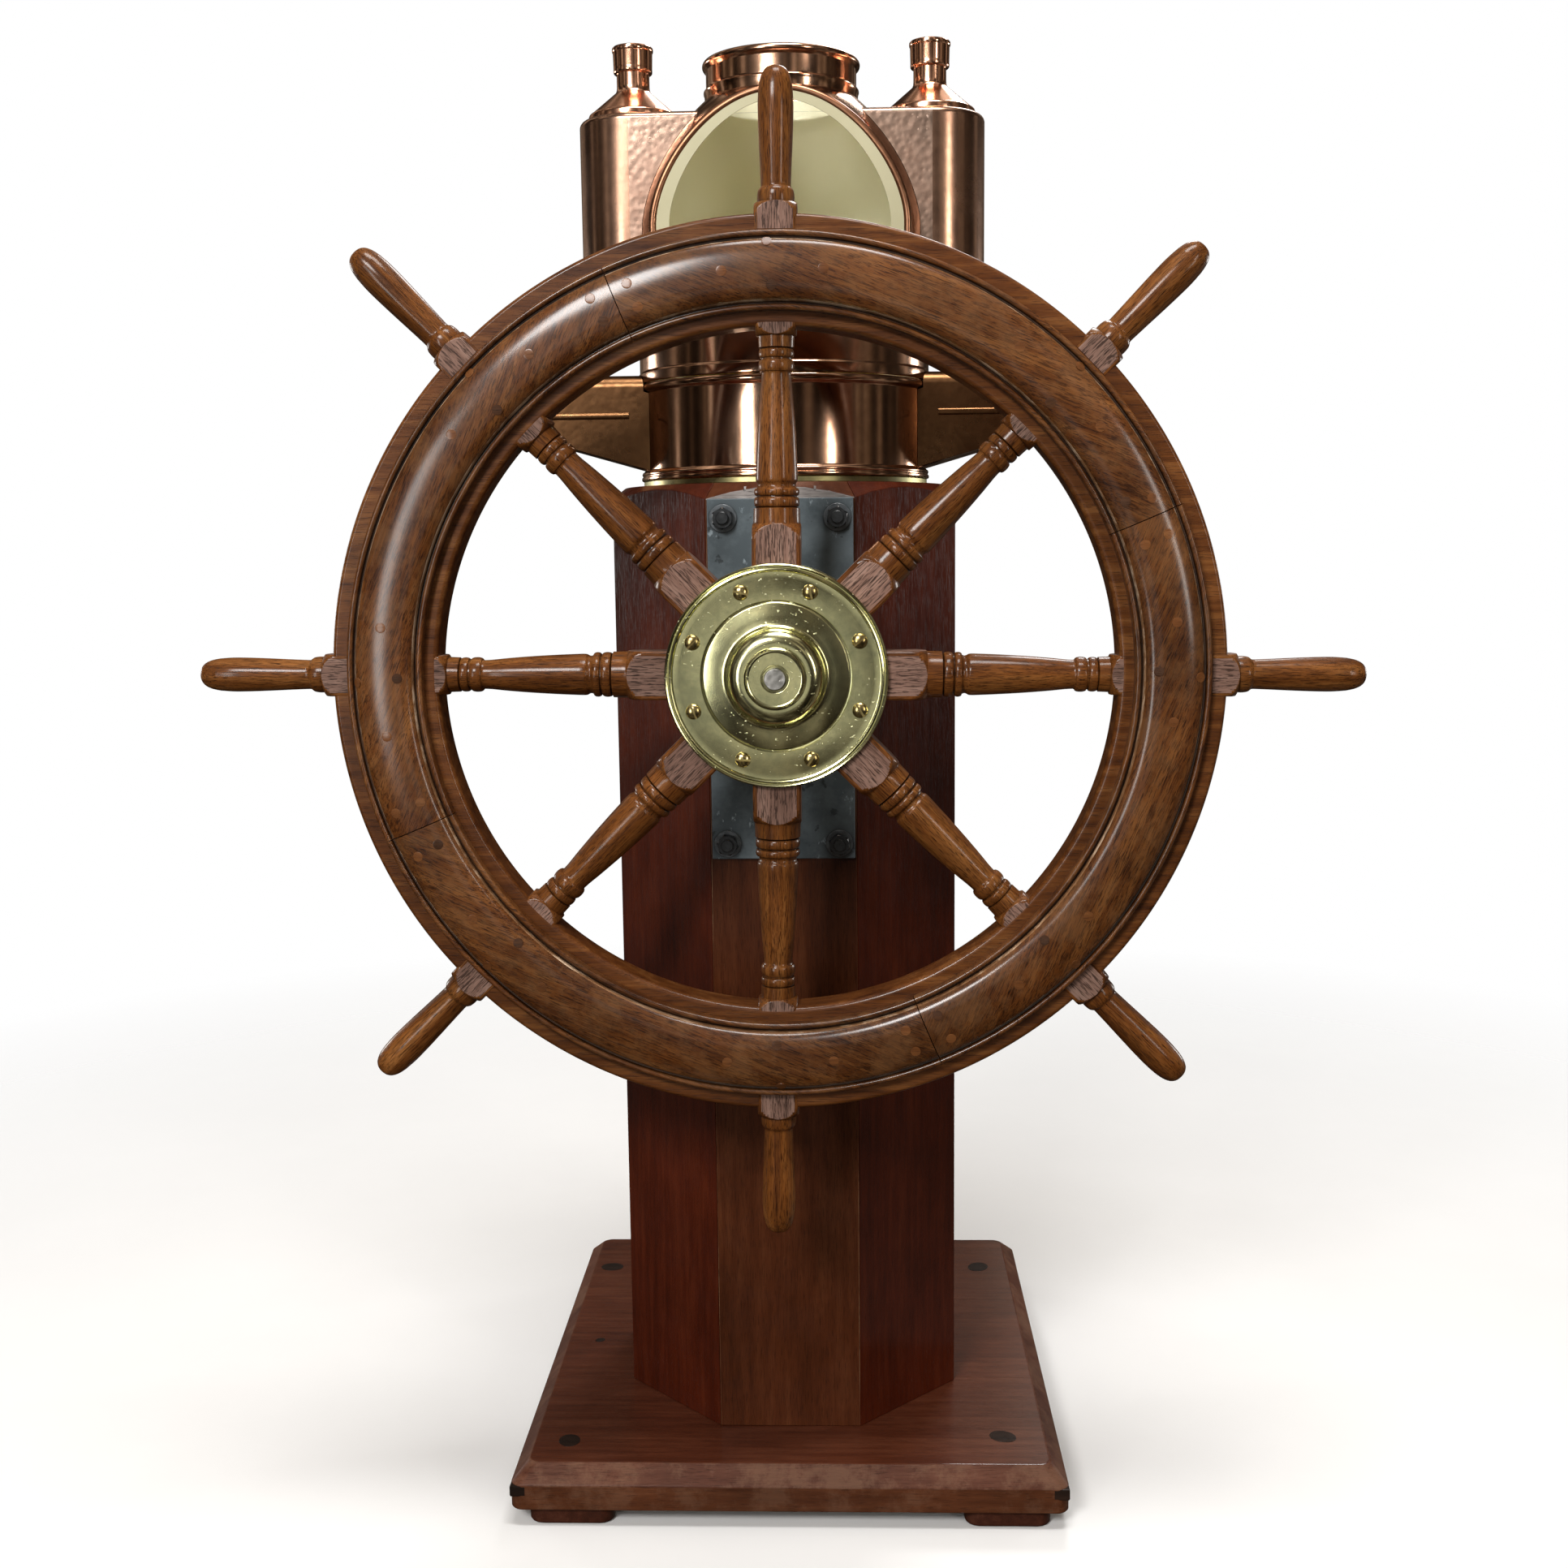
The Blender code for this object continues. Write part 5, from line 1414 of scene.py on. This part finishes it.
def build_compass():
    centre = Matrix.Translation((0, AXIS_Y, PIVOT_Z))
    bm = lathe(rounded_ring((0.1290, 0.004, 0.002, 3), (0.1320, 0.004, 0.002, 3)))
    add_pins(bm, 0.1320, 0.1450, 0)
    finish("gimbal_ring_turned", bm, BRASS_TURNED, "gimbal_ring", centre, 35, "gimbal_ring")
    bowl = [(0.0, -0.075), (0.0450, -0.069), (0.0820, -0.051), (0.1000, -0.023), (0.1050, 0.005)]
    inner = [(0.0980, 0.005), (0.0950, -0.021), (0.0790, -0.047), (0.0440, -0.065), (0.0040, -0.067)]
    profile = smooth_line(bowl, 6) + [
        (0.1050, 0.0330), (0.1058, 0.0345), (0.1058, 0.0385), (0.1045, 0.0400), (0.1018, 0.0400),
        (0.1010, 0.0392)
    ]
    profile += [(0.1010, 0.0330), (0.0980, 0.0330)] + smooth_line(inner, 6) + [(0.0030, 0.0094), (0, 0.0097)]
    bm = lathe(profile, 128, loop=False)
    add_pins(bm, 0.1030, 0.1260, pi / 2)
    finish("compass_bowl_turned", bm, BRASS_TURNED, "compass_bowl", centre, 35, "compass_bowl")
    glass = disc(0.1004, 0.0333, 0.0370, 96)
    finish("compass_glass_clear", glass, GLASS, "compass_bowl", centre, 35, "compass_glass")
    card = disc(0.0880, 0.0100, 0.0115)
    finish("compass_card_paper", card, CARD, "compass_card", centre, 35, "compass_card")
    build_dial(centre)


def build_dial(centre):
    """Printed marks: three rings, a tick every five degrees and an eight-pointed star."""
    bm = bmesh.new()
    low, high = 0.0115, 0.01158
    for inner, outer in ((0.0838, 0.0846), (0.0740, 0.0744), (0.0180, 0.0186)):
        join(bm, lathe([(inner, low), (outer, low), (outer, high), (inner, high)], 128))
    for k in range(72):
        reach = 0.0700 if k % 9 == 0 else 0.0775
        mark = prism([(reach, -0.0004), (0.0838, -0.0004), (0.0838, 0.0004), (reach, 0.0004)], low, high)
        mark.transform(Matrix.Rotation(radians(5 * k), 4, "Z"))
        join(bm, mark)
    for k in range(8):
        reach = 0.064 if k % 2 == 0 else 0.044
        half = prism([(0.006, 0), (0.016, 0.0062), (reach, 0)], low, high)
        half.transform(Matrix.Rotation(radians(45 * k), 4, "Z"))
        join(bm, half)
    finish("compass_card_print", bm, INK, "compass_card", centre, 0)
    north = prism([(0, 0.056), (0.005, 0.064), (0, 0.073), (-0.005, 0.064)], 0.01160, 0.01166)
    finish("compass_card_north", north, RED_INK, "compass_card", centre, 0)


def build_hidden():
    """The CAD nodes that are shown as they are, out of sight inside the column and the housings."""
    for node in ("sprocket", "soft_iron_left", "soft_iron_right"):
        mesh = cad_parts[node].data
        mesh.materials.clear()
        mesh.materials.append(IRON)


# Stage


def build_stage():
    floor = bpy.data.meshes.new("floor")
    floor.from_pydata([(-40, -40, 0), (40, -40, 0), (40, 40, 0), (-40, 40, 0)], [], [(0, 1, 2, 3)])
    obj = bpy.data.objects.new("floor", floor)
    obj.location.z = -0.0005
    bpy.context.scene.collection.objects.link(obj)
    shade = Shade("floor_pale")
    patch = shade.noise(shade.coords(), 2.0, 5.0, 0.6)
    shade.set(Base_Color=shade.ramp(patch, (0.3, 0.84), (0.7, 0.88)), Roughness=0.7)
    fade = shade.ramp(shade.math("MULTIPLY", shade.off_axis(), 0.25), (0.18, 0.0), (0.60, 1.0))
    clear = shade.node("BsdfTransparent").outputs[0]
    blend = shade.blend(fade, shade.surface.outputs[0], clear)
    shade.put(shade.tree.nodes["Material Output"], "0", blend)
    floor.materials.append(shade.material)
    obj.visible_glossy = False
    obj.visible_diffuse = False


def light(name, place, target, size, power, colour=(1, 1, 1), height=None):
    lamp = bpy.data.lights.new(name, "AREA")
    lamp.shape = "RECTANGLE"
    lamp.size = size
    lamp.size_y = height or size
    lamp.energy = power
    lamp.color = colour
    obj = bpy.data.objects.new(name, lamp)
    obj.location = place
    obj.rotation_euler = (Vector(target) - Vector(place)).to_track_quat("-Z", "Y").to_euler()
    bpy.context.scene.collection.objects.link(obj)


ROOM_DARK = (0.012, 0.009, 0.007)
ROOM_WARM = (0.07, 0.053, 0.038)
ROOM_TAN = (0.26, 0.21, 0.155)
ROOM_LIGHT = (0.60, 0.54, 0.47)


def build_world():
    """A pale backdrop for the camera, and a banded room of light and shade for the metal to mirror."""
    world = bpy.data.worlds.new("studio")
    bpy.context.scene.world = world
    world.use_nodes = True
    world.node_tree.nodes.clear()
    room = Tree(world.node_tree)
    place = room.node("TexCoord").outputs["Generated"]
    squeezed = room.node("Mapping", Vector=place, Scale=(2.6, 2.6, 0.30)).outputs[0]
    shapes = room.noise(squeezed, 2.4, 3.0, 0.5)
    dark = room.ramp(shapes, (0.44, ROOM_DARK), (0.53, ROOM_WARM), (0.585, ROOM_TAN), (0.63, ROOM_LIGHT))
    upward = room.node("SeparateXYZ", Vector=place).outputs[2]
    rise = room.node("MapRange", Value=upward, From_Min=-1.0).outputs[0]
    height = room.ramp(rise, (0.0, 0.5), (0.45, 0.5), (0.75, 1.2), (1.0, 2.0))
    mirrored = room.node("Background", Color=room.mix(1.0, dark, height, "MULTIPLY"), Strength=1.0)
    backdrop = room.node("Background", Color=(1.0, 1.0, 1.0, 1.0), Strength=1.0)
    seen = room.node("LightPath").outputs["Is Camera Ray"]
    room.node("OutputWorld", Surface=room.blend(seen, mirrored.outputs[0], backdrop.outputs[0]))


def build_camera():
    pitch, yaw, roll = radians(7.727), radians(1.994), radians(-0.662)
    forward = Vector((-sin(yaw) * cos(pitch), cos(yaw) * cos(pitch), -sin(pitch)))
    level = Vector((cos(yaw), sin(yaw), 0))
    upright = level.cross(forward)
    right = level * cos(roll) + upright * sin(roll)
    up = upright * cos(roll) - level * sin(roll)
    data = bpy.data.cameras.new("camera")
    data.lens = 40.14
    data.sensor_width = 36
    data.clip_end = 200
    camera = bpy.data.objects.new("camera", data)
    turn = Matrix((right, up, -forward)).transposed().to_4x4()
    camera.matrix_world = Matrix.Translation((0.0606, AXIS_Y - 1.8950, 0.9711)) @ turn
    bpy.context.scene.collection.objects.link(camera)
    bpy.context.scene.camera = camera


def build_lights():
    light("key", (-1.5, -4.3, 3.45), (0, 0, 0.9), 1.35, 180, (1.0, 0.98, 0.96), 1.1)
    light("window", (-2.4, -4.6, 1.2), (0, 0, 0.9), 0.7, 50, (1.0, 0.99, 0.96), 2.0)
    light("glow", (-0.80, -4.6, 1.80), (-0.16, 0, 1.3), 0.7, 1.5, (1.0, 0.97, 0.93), 0.6)
    light("fill", (2.6, -3.2, 1.6), (0, 0, 0.8), 0.35, 24, (1.0, 0.93, 0.85), 1.5)
    light("top", (0.2, -1.0, 3.9), (0, 0, 1.0), 1.4, 80, (1.0, 0.99, 0.97), 0.9)
    light("back", (0.8, 2.6, 3.6), (0, 0, 1.0), 1.0, 50)
    light("rear_left", (-4.2, 3.0, 1.2), (0, 0, 0.8), 1.0, 40, (1.0, 0.98, 0.95))
    light("rear_right", (4.2, 3.0, 1.2), (0, 0, 0.8), 1.0, 40, (1.0, 0.98, 0.95))
    light("card", (-0.2, -5.2, 0.55), (0, 0, 0.8), 1.6, 2.6, (1.0, 0.99, 0.93), 1.1)


build_plinth()
build_column()
build_door()
build_spindle_plate()
build_spokes()
build_rim()
build_hub()
build_drum()
build_hood()
for lamp_side, half_turn in (("right", 0.0), ("left", pi)):
    build_lamp(lamp_side, half_turn)
    build_corrector(lamp_side, half_turn)
build_compass()
build_hidden()
build_stage()
build_world()
build_lights()
build_camera()
bpy.context.scene.view_settings.view_transform = "Standard"
